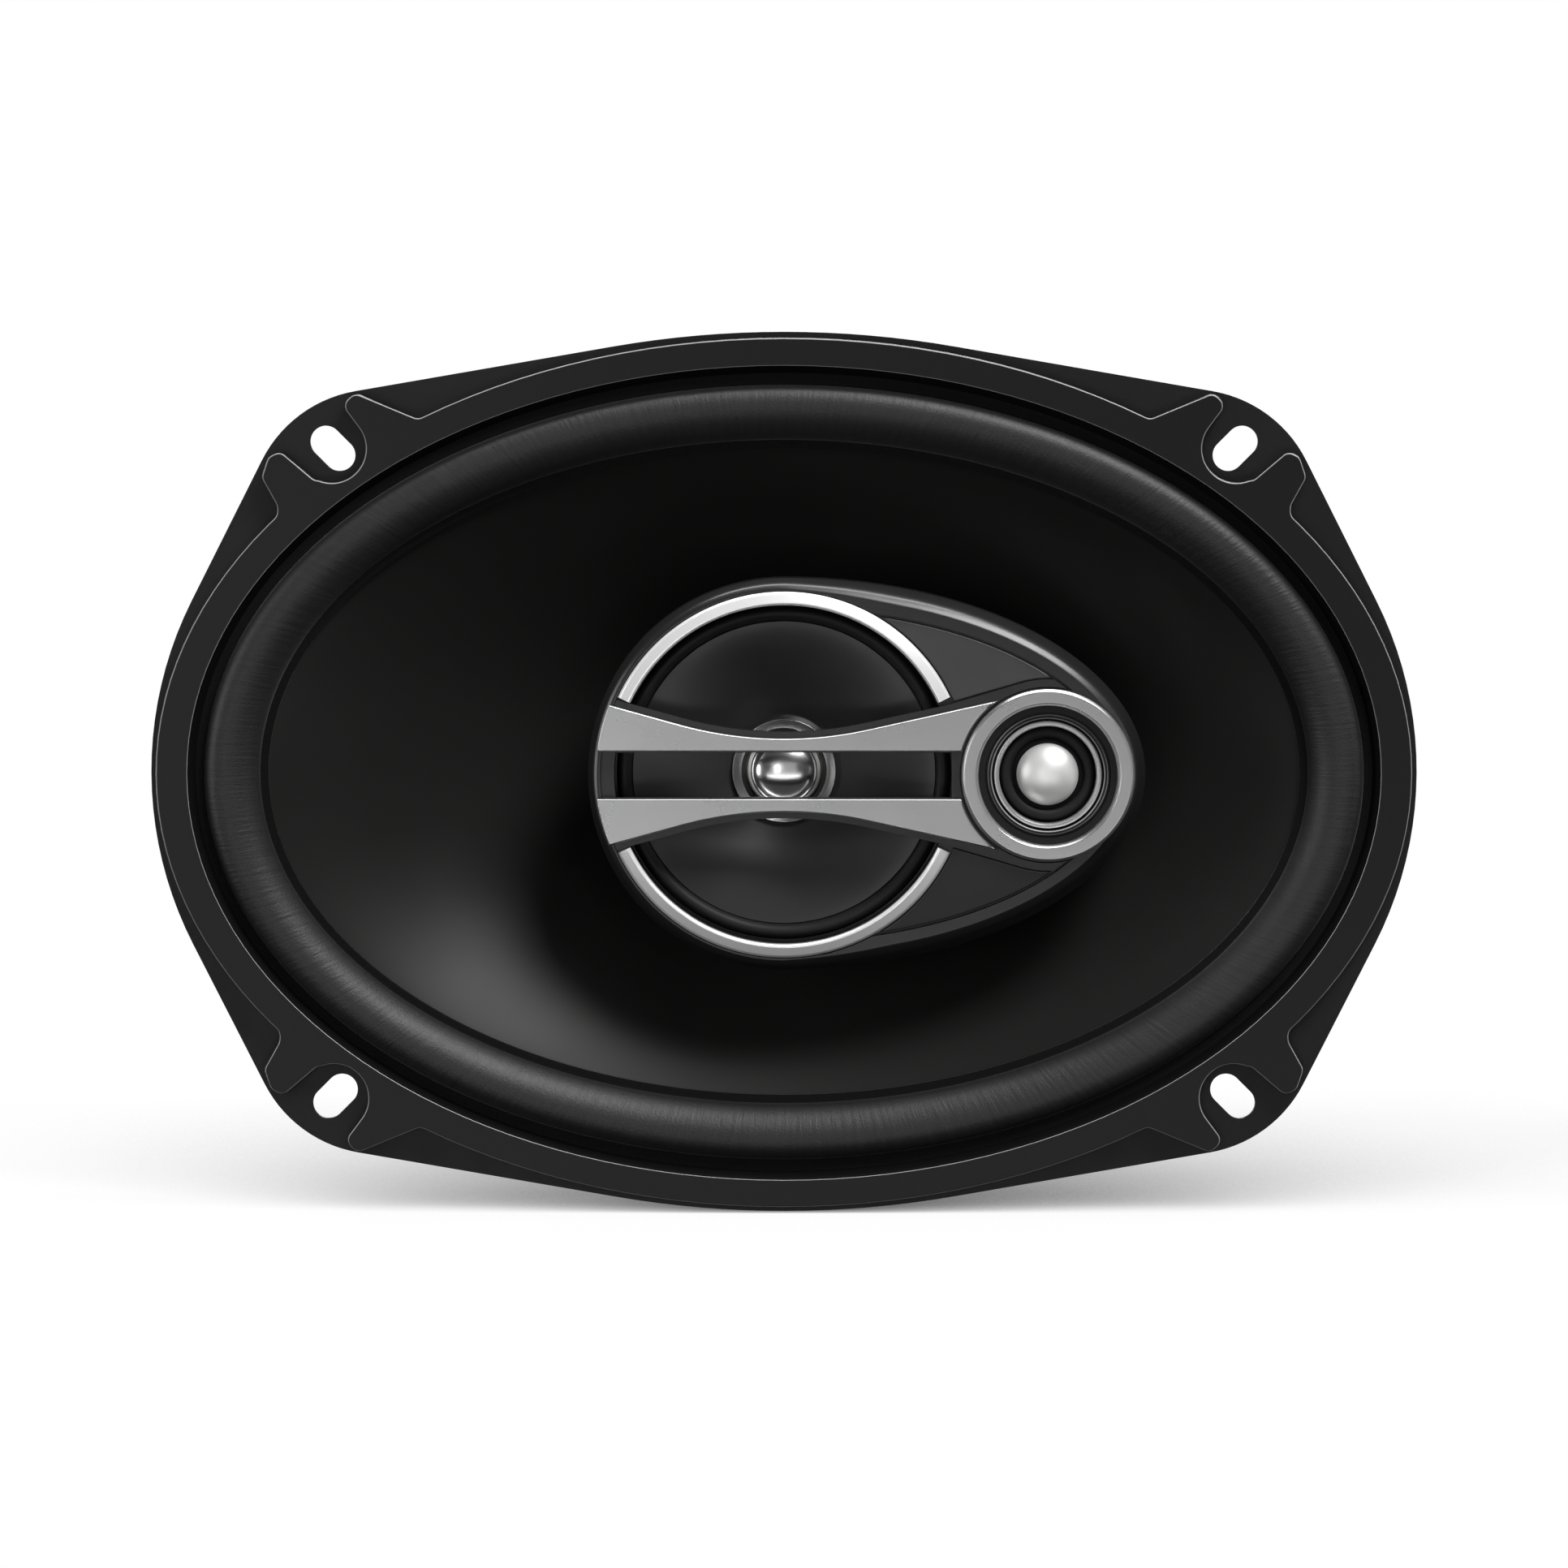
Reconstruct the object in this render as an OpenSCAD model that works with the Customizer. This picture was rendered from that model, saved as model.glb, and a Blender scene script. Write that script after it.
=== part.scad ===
// Three-way coaxial car speaker, 6 x 9 inch oval, for a door or rear shelf.
// Every piece is drawn face up, front along +Z, and stand_up() then turns it so that
// the front looks along -Y and the short side of the oval runs along +Z.

/* [Flange] */
// Half of the overall width
half_width = 117.5; // [117:0.1:118]
// Half of the overall height
half_height = 81.8; // [81.5:0.1:82.2]
// Thickness of the stamped steel
steel_t = 1.2; // [1.1:0.1:1.4]
// Radius of the left and right ends
end_r = 70.8; // [70:0.1:72]
// Radius of the top and bottom edges
side_r = 185.2; // [184:0.1:187]
// Radius of the four corners
corner_r = 24; // [23:0.5:25]
// Width between screw slot centres
slot_spacing_x = 167.1; // [167:0.1:168]
// Height between screw slot centres
slot_spacing_y = 120.5; // [120:0.1:121]
// End-to-end length of a screw slot
slot_length = 9.4; // [8.5:0.1:9.6]
// Width of a screw slot
slot_width = 5.8; // [5:0.1:6]

/* [Basket] */
// Half width of the oval mouth, outside
mouth_a = 108.6; // [108:0.1:109]
// Half height of the oval mouth, outside
mouth_b = 73.6; // [73:0.1:74]
// Depth of the mouth wall
mouth_depth = 15; // [14:0.5:16]
// Half height of the oval where the mouth wall meets the sloped legs
waist_b = 68.5; // [68:0.1:69]
// Half height of the oval round the spider seat
seat_b = 45; // [44.8:0.1:45.5]
// Depth of the spider seat behind the mounting plane
seat_depth = 42; // [42:0.1:42.4]
// Outer radius of the cup that stands on the magnet
cup_r = 38.5; // [38:0.1:39]
// Depth of the cup's base behind the mounting plane
base_depth = 52; // [51.5:0.1:52.5]
// Width of a leg between two windows
leg_w = 14; // [13:0.5:15]

/* [Gasket and surround] */
// Half width of the raised front ring
gasket_a = 116.4; // [116:0.1:116.8]
// Half height of the raised front ring
gasket_b = 80.7; // [80:0.1:80.9]
// Half width of the front ring's opening
gasket_in_a = 110.6; // [110:0.1:111]
// Half height of the front ring's opening
gasket_in_b = 75.6; // [75:0.1:76]
// How far the wall of that opening leans in towards its foot
gasket_lean = 1.4; // [0:0.1:1.8]
// Height of the front ring above the flange
gasket_h = 3.8; // [3.5:0.1:4.5]
// Half width of the surround's roll, outside
roll_a = 107.6; // [107.4:0.1:107.8]
// Half height of the surround's roll, outside
roll_b = 72.0; // [71.8:0.1:72.3]
// Width of the surround's roll
roll_w = 10.2; // [9.8:0.1:10.4]
// Height of the surround's roll
roll_h = 4.4; // [4:0.1:4.8]
// Thickness of the surround
roll_t = 0.6; // [0.5:0.1:0.8]

/* [Woofer] */
// Depth of the cone's outer edge behind the mounting plane
cone_edge_depth = 1.5; // [1.5:0.1:2]
// Depth of the cone's neck behind the mounting plane
cone_neck_depth = 38; // [37.8:0.1:38.2]
// Thickness of the cone
cone_t = 0.7; // [0.6:0.1:0.9]
// Outer radius of the voice coil former
former_r = 19.2; // [19.1:0.05:19.3]
// Radius of the pole inside the voice coil
pole_r = 18.2; // [18:0.1:18.3]
// Radius of the top plate and back plate
plate_r = 45; // [44:0.5:46]
// Radius of the ferrite magnet
magnet_r = 50; // [49:0.5:50]
// Thickness of the ferrite magnet
magnet_h = 16; // [16:0.5:16.5]
// Height of the voice coil's winding
winding_h = 14; // [12:0.5:14]

/* [Pod] */
// Radius of the pod's round end
pod_r = 36.3; // [36:0.1:36.6]
// Length of the pod's pointed end from the midrange's axis
pod_reach = 67; // [66.8:0.1:67.4]
// Height of the pod's front face above the mounting plane
pod_face = 7; // [6.8:0.1:7.2]
// Distance from the midrange's axis to the tweeter's axis
tweeter_x = 48.8; // [48.6:0.1:49]
// Radius of the midrange opening
mid_open_r = 31.4; // [31.2:0.1:31.6]
// Outer radius of the silver ring round the midrange
mid_ring_r = 33.9; // [33.7:0.1:34]
// Angle at which the silver ring's arcs start, above the horizontal
ring_start = 25.2; // [25:0.1:27]
// Half of the gap between the two silver bars
bar_gap = 4.37; // [4.2:0.01:4.6]
// Distance from the axis to a bar's outer edge, at its narrowest
bar_waist = 6.8; // [6.6:0.1:7]
// Radius of the hollow in a bar's outer edge
bar_hollow_r = 72; // [68:1:76]
// Slope of a bar's outer edge towards the round end
bar_slope_left = 15.4; // [15:0.1:16]
// Slope of a bar's outer edge towards the tweeter
bar_slope_right = 12.5; // [12:0.1:13]
// Outer radius of the tweeter's silver bezel
bezel_r = 16; // [15.8:0.1:16.1]
// Inner radius of the tweeter's silver bezel
bezel_in_r = 13; // [12.9:0.1:13.1]

/* [Hidden] */
$fn = 96;

// Cut-through allowance for holes
eps = 0.01;
over = 1;

// Finishes
black_steel = [0.05, 0.05, 0.055];
bare_steel = [0.62, 0.63, 0.65];
ferrite = [0.13, 0.13, 0.14];
black_plastic = [0.07, 0.07, 0.075];
panel_grey = [0.20, 0.20, 0.21];
soft_black = [0.03, 0.03, 0.03];
silver_paint = [0.72, 0.72, 0.73];
chrome = [0.85, 0.85, 0.87];
copper = [0.72, 0.42, 0.22];
brass = [0.80, 0.66, 0.32];
cotton = [0.78, 0.66, 0.40];
sleeve_blue = [0.12, 0.20, 0.42];
sleeve_red = [0.35, 0.05, 0.05];

// Flange outline: the normals where its straight edges leave the end and side arcs
end_normal = 26.8;
side_normal = 80.2;

// Basket sections
oval_ratio = mouth_a / mouth_b;
oval_sides = 144;
wall_sides = 96;
wall_t = steel_t - 0.15;
seat_plate_b = seat_b + 0.4;
lip_t = roll_t;
flange_hole_b = mouth_b - wall_t / 2;
coil_hole_r = 21;
rivet_circle_r = 29;
rivet_r = 2.5;
rivet_fit = 0.05;
rivet_embed = 1;
rivet_head_r = [4.2, 2.8];
rivet_head_h = 1.6;
window_in_b = 49;
window_out_b = 64;
window_fillet = 3;
corner_angle = atan2(slot_spacing_y, slot_spacing_x);
leg_angles = [0, corner_angle, 90, 180 - corner_angle, 180, 180 + corner_angle, 270,
    360 - corner_angle];

// Magnet stack, all depths behind the mounting plane
top_plate_h = 6;
magnet_top = base_depth + top_plate_h;
magnet_back = magnet_top + magnet_h;
magnet_in_r = 23;
back_plate_h = 6;
stack_back = magnet_back + back_plate_h;
gap_r = 20.6;
boot_r = 52;
boot_wire_room = 2;
boot_back = stack_back + boot_wire_room;
boot_t = 2;
boot_lip_depth = 60;
boot_step = 3;
boot_channel_y = 54.2;
boot_channel_w = 8.4;
boot_channel_wall = 1.6;

// Hollow post through the pole
post_r = 5;
post_bore_r = 3.4;
post_top_depth = 19.5;
post_inset = 0.5;
post_collar_r = 8;
post_collar_h = 4;
nut_h = 4.5;
nut_r = 8.4;
counterbore_r = 10;
counterbore_h = 5;

// Terminal board, on the lowest leg
leg_mid_y = -(waist_b + seat_b) / 2;
leg_mid_z = -(mouth_depth + seat_depth) / 2;
leg_angle = 90 + atan2(waist_b - seat_b, seat_depth - mouth_depth);
pad_w = 16;
pad_l = 18;
pad_proud = 1;
board_w = 38;
board_l = 16;
board_t = 1.6;
board_top = pad_proud + board_t;
board_rivet_y = -5;
board_rivet_r = 1.45;
board_rivet_head_r = 2.2;
board_rivet_head_h = 0.7;
tab_hole_r = 1;
tab_rivet_r = 0.95;
tab_rivet_head_r = 1.8;
tab_rivet_head_h = 0.6;
tab_foot_back = 2.6;
tab_foot_front = 4;
tab_lock_hole_r = 0.8;
positive_w = 6.3;
negative_w = 4.8;
tab_x = 12;
tab_t = 0.8;
tab_blade = 8;
capacitor_r = 4;
capacitor_l = 14;
capacitor_y = 3;

// Pod levels
pod_back_z = -5;
pod_floor_t = 1.6;
pod_wall = 1.8;
recess_z = 5.6;
front_under_z = 4.6;
rim_inset = 5.3;
panel_gap = 0.45;
panel_top = 6.7;
bridge_top = 7.2;
bar_top = 8.6;
bar_bevel = 0.35;
bar_end_r = 34.9;
bar_rise = 1.2;
collar_in_r = 16.2;
collar_out_r = 17.7;
ring_top = 8.1;
mid_collar_r = 33;
mid_cup_r = 31;
mid_cup_wall = 1.5;
mid_cup_floor = -post_top_depth;
mid_cup_depth = mid_cup_floor - mid_cup_wall;
mid_cup_taper = 4.5;
boss_r = 9;
boss_depth = -25;
screw_at = [31, 22];
screw_r = 1.2;
screw_tip = 0.8;
screw_head_r = 2.4;
screw_head_h = 1.6;
screw_slot = [2.6, 0.5, 1.4];
screw_boss_r = 3;

// Midrange
mid_rim_z = -1;
mid_crease_r = 28.1;
mid_neck_r = 9.6;
mid_neck_z = -7;
mid_cone_t = 0.5;
mid_ring_z = -6;
mid_ring_foot = -7.8;
mid_coil_r = 7.9;
mid_coil_in_r = 7.2;
mid_coil_z = [-12.8, -6.9];
mid_magnet_r = 6.6;
mid_plate_r = 6.8;
mid_frame_in_r = 28.45;
mid_frame_out_r = 29.3;
mid_frame_knee = -5;
mid_frame_foot = -13.5;
mid_roll_out_r = 31.1;
mid_yoke_r = 12;
mid_yoke_in_r = 8.6;
mid_yoke_z = -15.5;
mid_yoke_top = -9.2;
mid_floor_z = -14;
mid_plate_z = -11.2;
mid_plate_top = -9.6;
plug_r = 6.2;
plug_shoulder = -6.4;
plug_rise = 3.2;

// Tweeter
tw_cup_r = 12.9;
tw_cup_z = -4.2;
tw_floor_z = -3.2;
tw_yoke_r = 9.6;
tw_yoke_in_r = 7;
tw_yoke_top = 2;
tw_yoke_floor = 1.5;
tw_magnet_r = 5.3;
tw_plate_r = 5.45;
tw_plate_z = [0.4, 1.8];
tw_dome_r = 6.2;
tw_dome_z = 4;
tw_dome_h = 3;
tw_dome_t = 0.3;
tw_coil_r = 6.5;
tw_coil_in_r = 5.8;
tw_coil_z = [-0.6, 3.85];
tw_roll_r = 7.75;
tw_roll_half = 1.15;
tw_roll_h = 0.7;
tw_roll_foot = 3.4;
tw_rim_r = 9.6;
tw_rim_in_r = 9;
tw_capacitor_at = [41, -20, -0.6];
tw_capacitor_r = 3;
tw_capacitor_l = 9;
bezel_foot = pod_face + 0.05;
bezel_top = 9.4;

// ---------- helpers ----------

module stand_up() {
    rotate([90, 0, 0]) children();
}

module tube(r_out, r_in, z0, z1) {
    translate([0, 0, z0]) difference() {
        cylinder(r = r_out, h = z1 - z0);
        translate([0, 0, -over]) cylinder(r = r_in, h = z1 - z0 + 2 * over);
    }
}

module disc(r, z0, z1) {
    translate([0, 0, z0]) cylinder(r = r, h = z1 - z0);
}

module slab(z0, z1) {
    translate([0, 0, z0]) linear_extrude(height = z1 - z0) children();
}

module oval(a, b) {
    scale([a / b, 1]) circle(r = b);
}

// The same oval as straight sides, for outlines that are rounded with offset()
module sided_oval(a, b) {
    polygon([for (i = [0 : oval_sides - 1]) let (u = 360 * i / oval_sides) [a * cos(u), b * sin(u)]]);
}

function arc(centre, r, from, to, steps) =
    [for (i = [0 : steps]) let (turn = from + (to - from) * i / steps) centre + r * [cos(turn), sin(turn)]];

function mirror_x(points) = [for (i = [len(points) - 1 : -1 : 0]) [-points[i][0], points[i][1]]];

function mirror_y(points) = [for (i = [len(points) - 1 : -1 : 0]) [points[i][0], -points[i][1]]];

// A smooth route through hand-picked points
function route_point(p, i, t) =
    let (a = p[max(i - 1, 0)], b = p[i], c = p[i + 1], d = p[min(i + 2, len(p) - 1)])
    0.5 * (2 * b + (c - a) * t + (2 * a - 5 * b + 4 * c - d) * t * t + (3 * b - a - 3 * c + d) * t * t * t);

function route(p, steps) =
    concat([for (i = [0 : len(p) - 2], k = [0 : steps - 1]) route_point(p, i, k / steps)], [p[len(p) - 1]]);

function unit(v) = v / norm(v);

function tangent(p, i) = unit(p[min(i + 1, len(p) - 1)] - p[max(i - 1, 0)]);

function normals(p) =
    [for (i = 0, n = unit(cross(tangent(p, 0), [0.3, 0.5, 0.8]));
        i < len(p);
        i = i + 1, n = i < len(p) ? unit(n - (n * tangent(p, i)) * tangent(p, i)) : n) n];

// Round wire of radius r along the points p
module wire(p, r, sides = 8) {
    n = normals(p);
    rings = [for (i = [0 : len(p) - 1], k = [0 : sides - 1])
        let (b = cross(tangent(p, i), n[i]), turn = 360 * k / sides)
        p[i] + r * (cos(turn) * n[i] + sin(turn) * b)];
    last = (len(p) - 1) * sides;
    sidewalls = [for (i = [0 : len(p) - 2], k = [0 : sides - 1])
        [i * sides + k, i * sides + (k + 1) % sides, (i + 1) * sides + (k + 1) % sides, (i + 1) * sides + k]];
    start_cap = [[for (k = [sides - 1 : -1 : 0]) k]];
    end_cap = [[for (k = [0 : sides - 1]) last + k]];
    polyhedron(points = rings, faces = [for (f = concat(sidewalls, start_cap, end_cap)) reverse(f)]);
}

function reverse(list) = [for (i = [len(list) - 1 : -1 : 0]) list[i]];

// Closed ring of section loops: sections[i] is a closed loop of points, and the last joins the first
module ring_of_sections(sections) {
    m = len(sections);
    k = len(sections[0]);
    points = [for (s = sections, p = s) p];
    faces = [for (i = [0 : m - 1], j = [0 : k - 1], half = [0, 1])
        let (a = i * k + j, b = i * k + (j + 1) % k,
            c = ((i + 1) % m) * k + (j + 1) % k, d = ((i + 1) % m) * k + j)
        half == 0 ? [a, b, c] : [a, c, d]];
    polyhedron(points = points, faces = faces);
}

// ---------- flange outline ----------

end_centre = [half_width - end_r, 0];
side_centre = [0, half_height - side_r];

// The corner arc's centre, from the two straight edges that it is tangent to
function corner_centre() =
    let (n1 = [cos(end_normal), sin(end_normal)], n2 = [cos(side_normal), sin(side_normal)],
        d1 = n1 * end_centre + end_r - corner_r, d2 = n2 * side_centre + side_r - corner_r,
        det = n1[0] * n2[1] - n1[1] * n2[0])
    [(d1 * n2[1] - d2 * n1[1]) / det, (n1[0] * d2 - n2[0] * d1) / det];

function outline_quarter() = concat(
    arc(end_centre, end_r, 0, end_normal, 10),
    arc(corner_centre(), corner_r, end_normal, side_normal, 14),
    arc(side_centre, side_r, side_normal, 90, 8));

module flange_outline() {
    quarter = outline_quarter();
    half = concat(quarter, mirror_x([for (i = [0 : len(quarter) - 2]) quarter[i]]));
    polygon(concat(half, mirror_y([for (i = [1 : len(half) - 2]) half[i]])));
}

// Children are drawn in a slot's own axes: X outwards along its length
module at_slots() {
    for (sx = [-1, 1], sy = [-1, 1]) {
        translate([sx * slot_spacing_x / 2, sy * slot_spacing_y / 2])
            mirror([sx < 0 ? 1 : 0, 0])
                mirror([0, sy < 0 ? 1 : 0])
                    rotate(45)
                        children();
    }
}

module slot_shape(length, width) {
    for (s = [-1, 1])
        translate([s * (length - width) / 2, 0]) circle(d = width);
    square([length - width, width], center = true);
}

// ---------- basket ----------

// Point on an oval in the basket's proportions, b high, where a line beside the angle a meets it
function oval_point(b, a, side) =
    let (along = [cos(a), sin(a)], across = side * [-sin(a), cos(a)])
    b / norm([along[0] / oval_ratio, along[1]]) * along + across;

// One window between the legs at angles a0 and a1, with round corners
module basket_window(a0, a1) {
    side = leg_w / 2 + window_fillet;
    b_out = window_out_b - window_fillet;
    b_in = window_in_b + window_fillet;
    mid = (a0 + a1) / 2;
    offset(r = window_fillet, $fn = 16) polygon([
        oval_point(b_in, a0, side), oval_point(b_out, a0, side),
        oval_point(b_out, mid, 0), oval_point(b_out, a1, -side),
        oval_point(b_in, a1, -side), oval_point(b_in, mid, 0)]);
}

module basket_windows() {
    for (i = [0 : len(leg_angles) - 2])
        basket_window(leg_angles[i], leg_angles[i + 1]);
    basket_window(leg_angles[len(leg_angles) - 1] - 360, 0);
}

module at_terminals() {
    translate([0, leg_mid_y, leg_mid_z]) rotate([leg_angle, 0, 0]) children();
}

// The pressed wall from the flange down to the spider seat: [half height, depth] round its section
wall_section = [
    [mouth_b, -steel_t / 2], [mouth_b, 0], [waist_b, mouth_depth], [seat_b, seat_depth],
    [seat_b, seat_depth + steel_t / 2], [seat_b - steel_t, seat_depth + steel_t / 2],
    [seat_b - steel_t, seat_depth], [waist_b - steel_t, mouth_depth], [mouth_b - wall_t, 0],
    [mouth_b - wall_t, -steel_t / 2]];

module basket_wall() {
    ring_of_sections([for (i = [wall_sides - 1 : -1 : 0]) let (u = 360 * i / wall_sides)
        [for (p = wall_section) [p[0] * oval_ratio * cos(u), p[0] * sin(u), -p[1]]]]);
}

module pad_hole() {
    at_terminals() translate([0, board_rivet_y, -2 * steel_t])
        cylinder(r = board_rivet_r + rivet_fit, h = 4 * steel_t);
}

module basket() {
    color(black_steel) stand_up() union() {
        difference() {
            slab(0, steel_t) flange_outline();
            slab(-over, steel_t + over) sided_oval(flange_hole_b * oval_ratio, flange_hole_b);
            slab(-over, steel_t + over) at_slots() slot_shape(slot_length, slot_width);
        }
        difference() {
            basket_wall();
            slab(-seat_depth + over, -mouth_depth) basket_windows();
            pad_hole();
        }
        difference() {
            union() {
                slab(-seat_depth - steel_t, -seat_depth) sided_oval(seat_plate_b * oval_ratio, seat_plate_b);
                disc(cup_r, -base_depth, -seat_depth - steel_t / 2);
            }
            disc(cup_r - steel_t, -base_depth + steel_t, -seat_depth + over);
            disc(coil_hole_r, -base_depth - over, -base_depth + steel_t + over);
            at_rivets() disc(rivet_r, -base_depth - over, -base_depth + steel_t + over);
        }
        difference() {
            at_terminals() translate([-pad_w / 2, -pad_l / 2, -steel_t / 2])
                cube([pad_w, pad_l, steel_t / 2 + pad_proud]);
            pad_hole();
        }
    }
}

module at_rivets() {
    for (i = [0 : 3])
        rotate(45 + 90 * i) translate([rivet_circle_r, 0, 0]) children();
}

module basket_rivets() {
    color(bare_steel) stand_up() at_rivets() {
        disc(rivet_r - rivet_fit, -magnet_top + rivet_embed, -base_depth + steel_t);
        translate([0, 0, -base_depth + steel_t])
            cylinder(r1 = rivet_head_r[0], r2 = rivet_head_r[1], h = rivet_head_h);
    }
}

// ---------- front gasket ----------

// A horn on each side of a screw slot, in the slot's own axes, and the U that the screw head needs
side_horn = [[-8, 4], [4.3, 6.5], [4.3, 10.3], [-7, 15], [-11, 17]];
end_horn = [[-6, -6], [6.4, -7], [7.2, -9.4], [5.4, -13], [-0.2, -14.6], [-4.5, -18.5], [-12, -14]];
horn_round = 1.8;
slot_clear_r = 6.3;
slot_mouth = [12, 0.8];
slot_mouth_r = 7.2;

module gasket_outline() {
    offset(r = horn_round, $fn = 32)
    offset(r = -2 * horn_round, $fn = 32)
    offset(r = horn_round, $fn = 32)
        difference() {
            union() {
                sided_oval(gasket_a, gasket_b);
                at_slots() {
                    polygon(side_horn);
                    polygon(end_horn);
                }
            }
            at_slots() hull() {
                circle(r = slot_clear_r, $fn = 48);
                translate(slot_mouth) circle(r = slot_mouth_r, $fn = 48);
            }
        }
}

// The front ring's opening, which narrows towards the surround's lip
module gasket_mouth() {
    lean = gasket_lean / (gasket_h - lip_t);
    narrow = lean * (steel_t + gasket_h);
    foot = [gasket_in_a - narrow, gasket_in_b - narrow];
    wide = [gasket_in_a + lean * over, gasket_in_b + lean * over];
    linear_extrude(height = steel_t + gasket_h + over, slices = 1,
        scale = [wide[0] / foot[0], wide[1] / foot[1]])
        sided_oval(foot[0], foot[1]);
}

module front_gasket() {
    color(black_plastic) stand_up() difference() {
        slab(steel_t, steel_t + gasket_h) gasket_outline();
        gasket_mouth();
        slab(0, steel_t + lip_t + glue_gap / 2) sided_oval(lip_out_a + lip_room, lip_out_b + lip_room);
    }
}

// ---------- woofer ----------

lip_out_a = 113;
lip_out_b = 77.6;
lip_room = 0.3;
cone_lip = 1.8;
cone_lip_drop = 0.35;
cone_neck_r = former_r - 0.05;
cone_a = roll_a - roll_w + 0.2;
cone_b = roll_b - roll_w + 0.2;
cone_curve = 1.12;
glue_gap = 0.1;
cone_steps = 72;
cone_rows = 7;

// The cone's front surface: t is 0 at the neck and 1 at the edge, u the angle round it
function cone_front(t, u, drop) =
    let (a = cone_neck_r + (cone_a - cone_neck_r) * t, b = cone_neck_r + (cone_b - cone_neck_r) * t)
    [a * cos(u), b * sin(u),
        -cone_neck_depth + (cone_neck_depth - cone_edge_depth) * (1 - pow(1 - t, cone_curve)) - drop];

module woofer_cone() {
    sections = [for (i = [0 : cone_steps - 1])
        let (u = 360 * i / cone_steps)
        concat([for (j = [0 : cone_rows]) cone_front(j / cone_rows, u, 0)],
            [for (j = [cone_rows : -1 : 0]) cone_front(j / cone_rows, u, cone_t)])];
    color(soft_black) stand_up() ring_of_sections(reverse(sections));
}

roll_steps = 8;

// The surround's middle surface across its roll: s runs from 0 at the outer foot to 1 at the inner foot
function roll_point(s, u, lift) =
    let (w = roll_w * s, inner_foot = -cone_edge_depth + glue_gap,
        arch = roll_h * sqrt(max(0, 1 - pow(2 * s - 1, 2))),
        z = (steel_t + glue_gap / 2) * (1 - s) + inner_foot * s + arch)
    [(roll_a - w) * cos(u), (roll_b - w) * sin(u), z + lift];

function surround_row(u, lift) = concat(
    [[lip_out_a * cos(u), lip_out_b * sin(u), steel_t + glue_gap / 2 + lift]],
    [for (j = [0 : roll_steps]) roll_point(0.5 - 0.5 * cos(180 * j / roll_steps), u, lift)],
    [[(cone_a - cone_lip) * cos(u), (cone_b - cone_lip) * sin(u),
        -cone_edge_depth - cone_lip_drop + glue_gap + lift]]);

module surround() {
    sections = [for (i = [0 : cone_steps - 1])
        let (u = 360 * i / cone_steps)
        concat(surround_row(u, 0), reverse(surround_row(u, roll_t - glue_gap)))];
    color(soft_black) stand_up() ring_of_sections(reverse(sections));
}

// Spider: a corrugated cloth disc between the former and the basket's seat
spider_in_r = former_r + glue_gap;
spider_out_r = 42.5;
spider_flat = 5.8;
spider_hub = 1.5;
spider_waves = 5;
spider_wave_h = 1.2;
spider_t = 0.5;
spider_steps = 60;

function spider_z(r) =
    let (r0 = spider_in_r + spider_hub, r1 = spider_out_r - spider_flat, s = (r - r0) / (r1 - r0))
    s <= 0 || s >= 1 ? 0 : spider_wave_h * sin(360 * spider_waves * s);

module spider() {
    rows = [for (i = [0 : spider_steps]) spider_in_r + (spider_out_r - spider_in_r) * i / spider_steps];
    color(cotton) stand_up() translate([0, 0, -seat_depth + glue_gap]) rotate_extrude()
        polygon(concat([for (r = rows) [r, spider_z(r)]],
            [for (r = reverse(rows)) [r, spider_z(r) + spider_t]]));
}

former_t = 0.3;
former_top = -34;
former_foot = -64;
winding_t = 0.8;
winding_foot = -62;

module voice_coil_former() {
    color(cotton) stand_up() tube(former_r, former_r - former_t, former_foot, former_top);
}

module voice_coil_winding() {
    color(copper) stand_up() tube(former_r + winding_t, former_r, winding_foot, winding_foot + winding_h);
}

// Dust cap: a shallow ring on the former, clear of the post that passes through it
cap_hole_r = 6;
cap_t = 0.5;
cap_rise = 2.4;
cap_steps = 8;

function cap_row(lift) = [for (i = [0 : cap_steps]) let (s = i / cap_steps)
    [cap_hole_r + (former_r - cap_hole_r) * s, former_top + cap_rise * (1 - s * s) + lift]];

module dust_cap() {
    color(soft_black) stand_up() rotate_extrude() polygon(concat(cap_row(0), reverse(cap_row(cap_t))));
}

eyelet_at = [9, -27, -31.4];
eyelet_r = 0.8;
eyelet_h = 3.6;
eyelet_back = -2;
eyelet_flange_r = 1.5;
eyelet_flange_h = 0.5;

module lead_eyelets() {
    color(brass) stand_up() for (s = [-1, 1]) translate([s * eyelet_at[0], eyelet_at[1], eyelet_at[2]]) {
        disc(eyelet_r, eyelet_back, eyelet_back + eyelet_h);
        disc(eyelet_flange_r, eyelet_back - eyelet_flange_h / 2, eyelet_back + eyelet_flange_h / 2);
        translate([0, 0, eyelet_h])
            disc(eyelet_flange_r, eyelet_back - eyelet_flange_h / 2, eyelet_back + eyelet_flange_h / 2);
    }
}

// The braided leads' slack, from the terminal board's leg to the eyelets in the cone
tinsel_r = 0.6;
tinsel_route = [[12, -56.4, -27.2], [11.8, -53, -29.6], [11.4, -46, -33.6], [10.8, -39, -36.4],
    [10, -33, -37.2], [9.2, -28.6, -36], [9, -27, -33.8]];

module tinsel_leads() {
    color(copper) stand_up() for (s = [-1, 1])
        wire(route([for (p = tinsel_route) [s * p[0], p[1], p[2]]], 4), tinsel_r);
}

// ---------- magnet stack ----------

module top_plate() {
    color(bare_steel) stand_up() difference() {
        tube(plate_r, gap_r, -magnet_top, -base_depth);
        at_rivets() disc(rivet_r, -magnet_top + rivet_embed, -base_depth + over);
    }
}

module ferrite_magnet() {
    color(ferrite) stand_up() tube(magnet_r, magnet_in_r, -magnet_back, -magnet_top);
}

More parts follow.
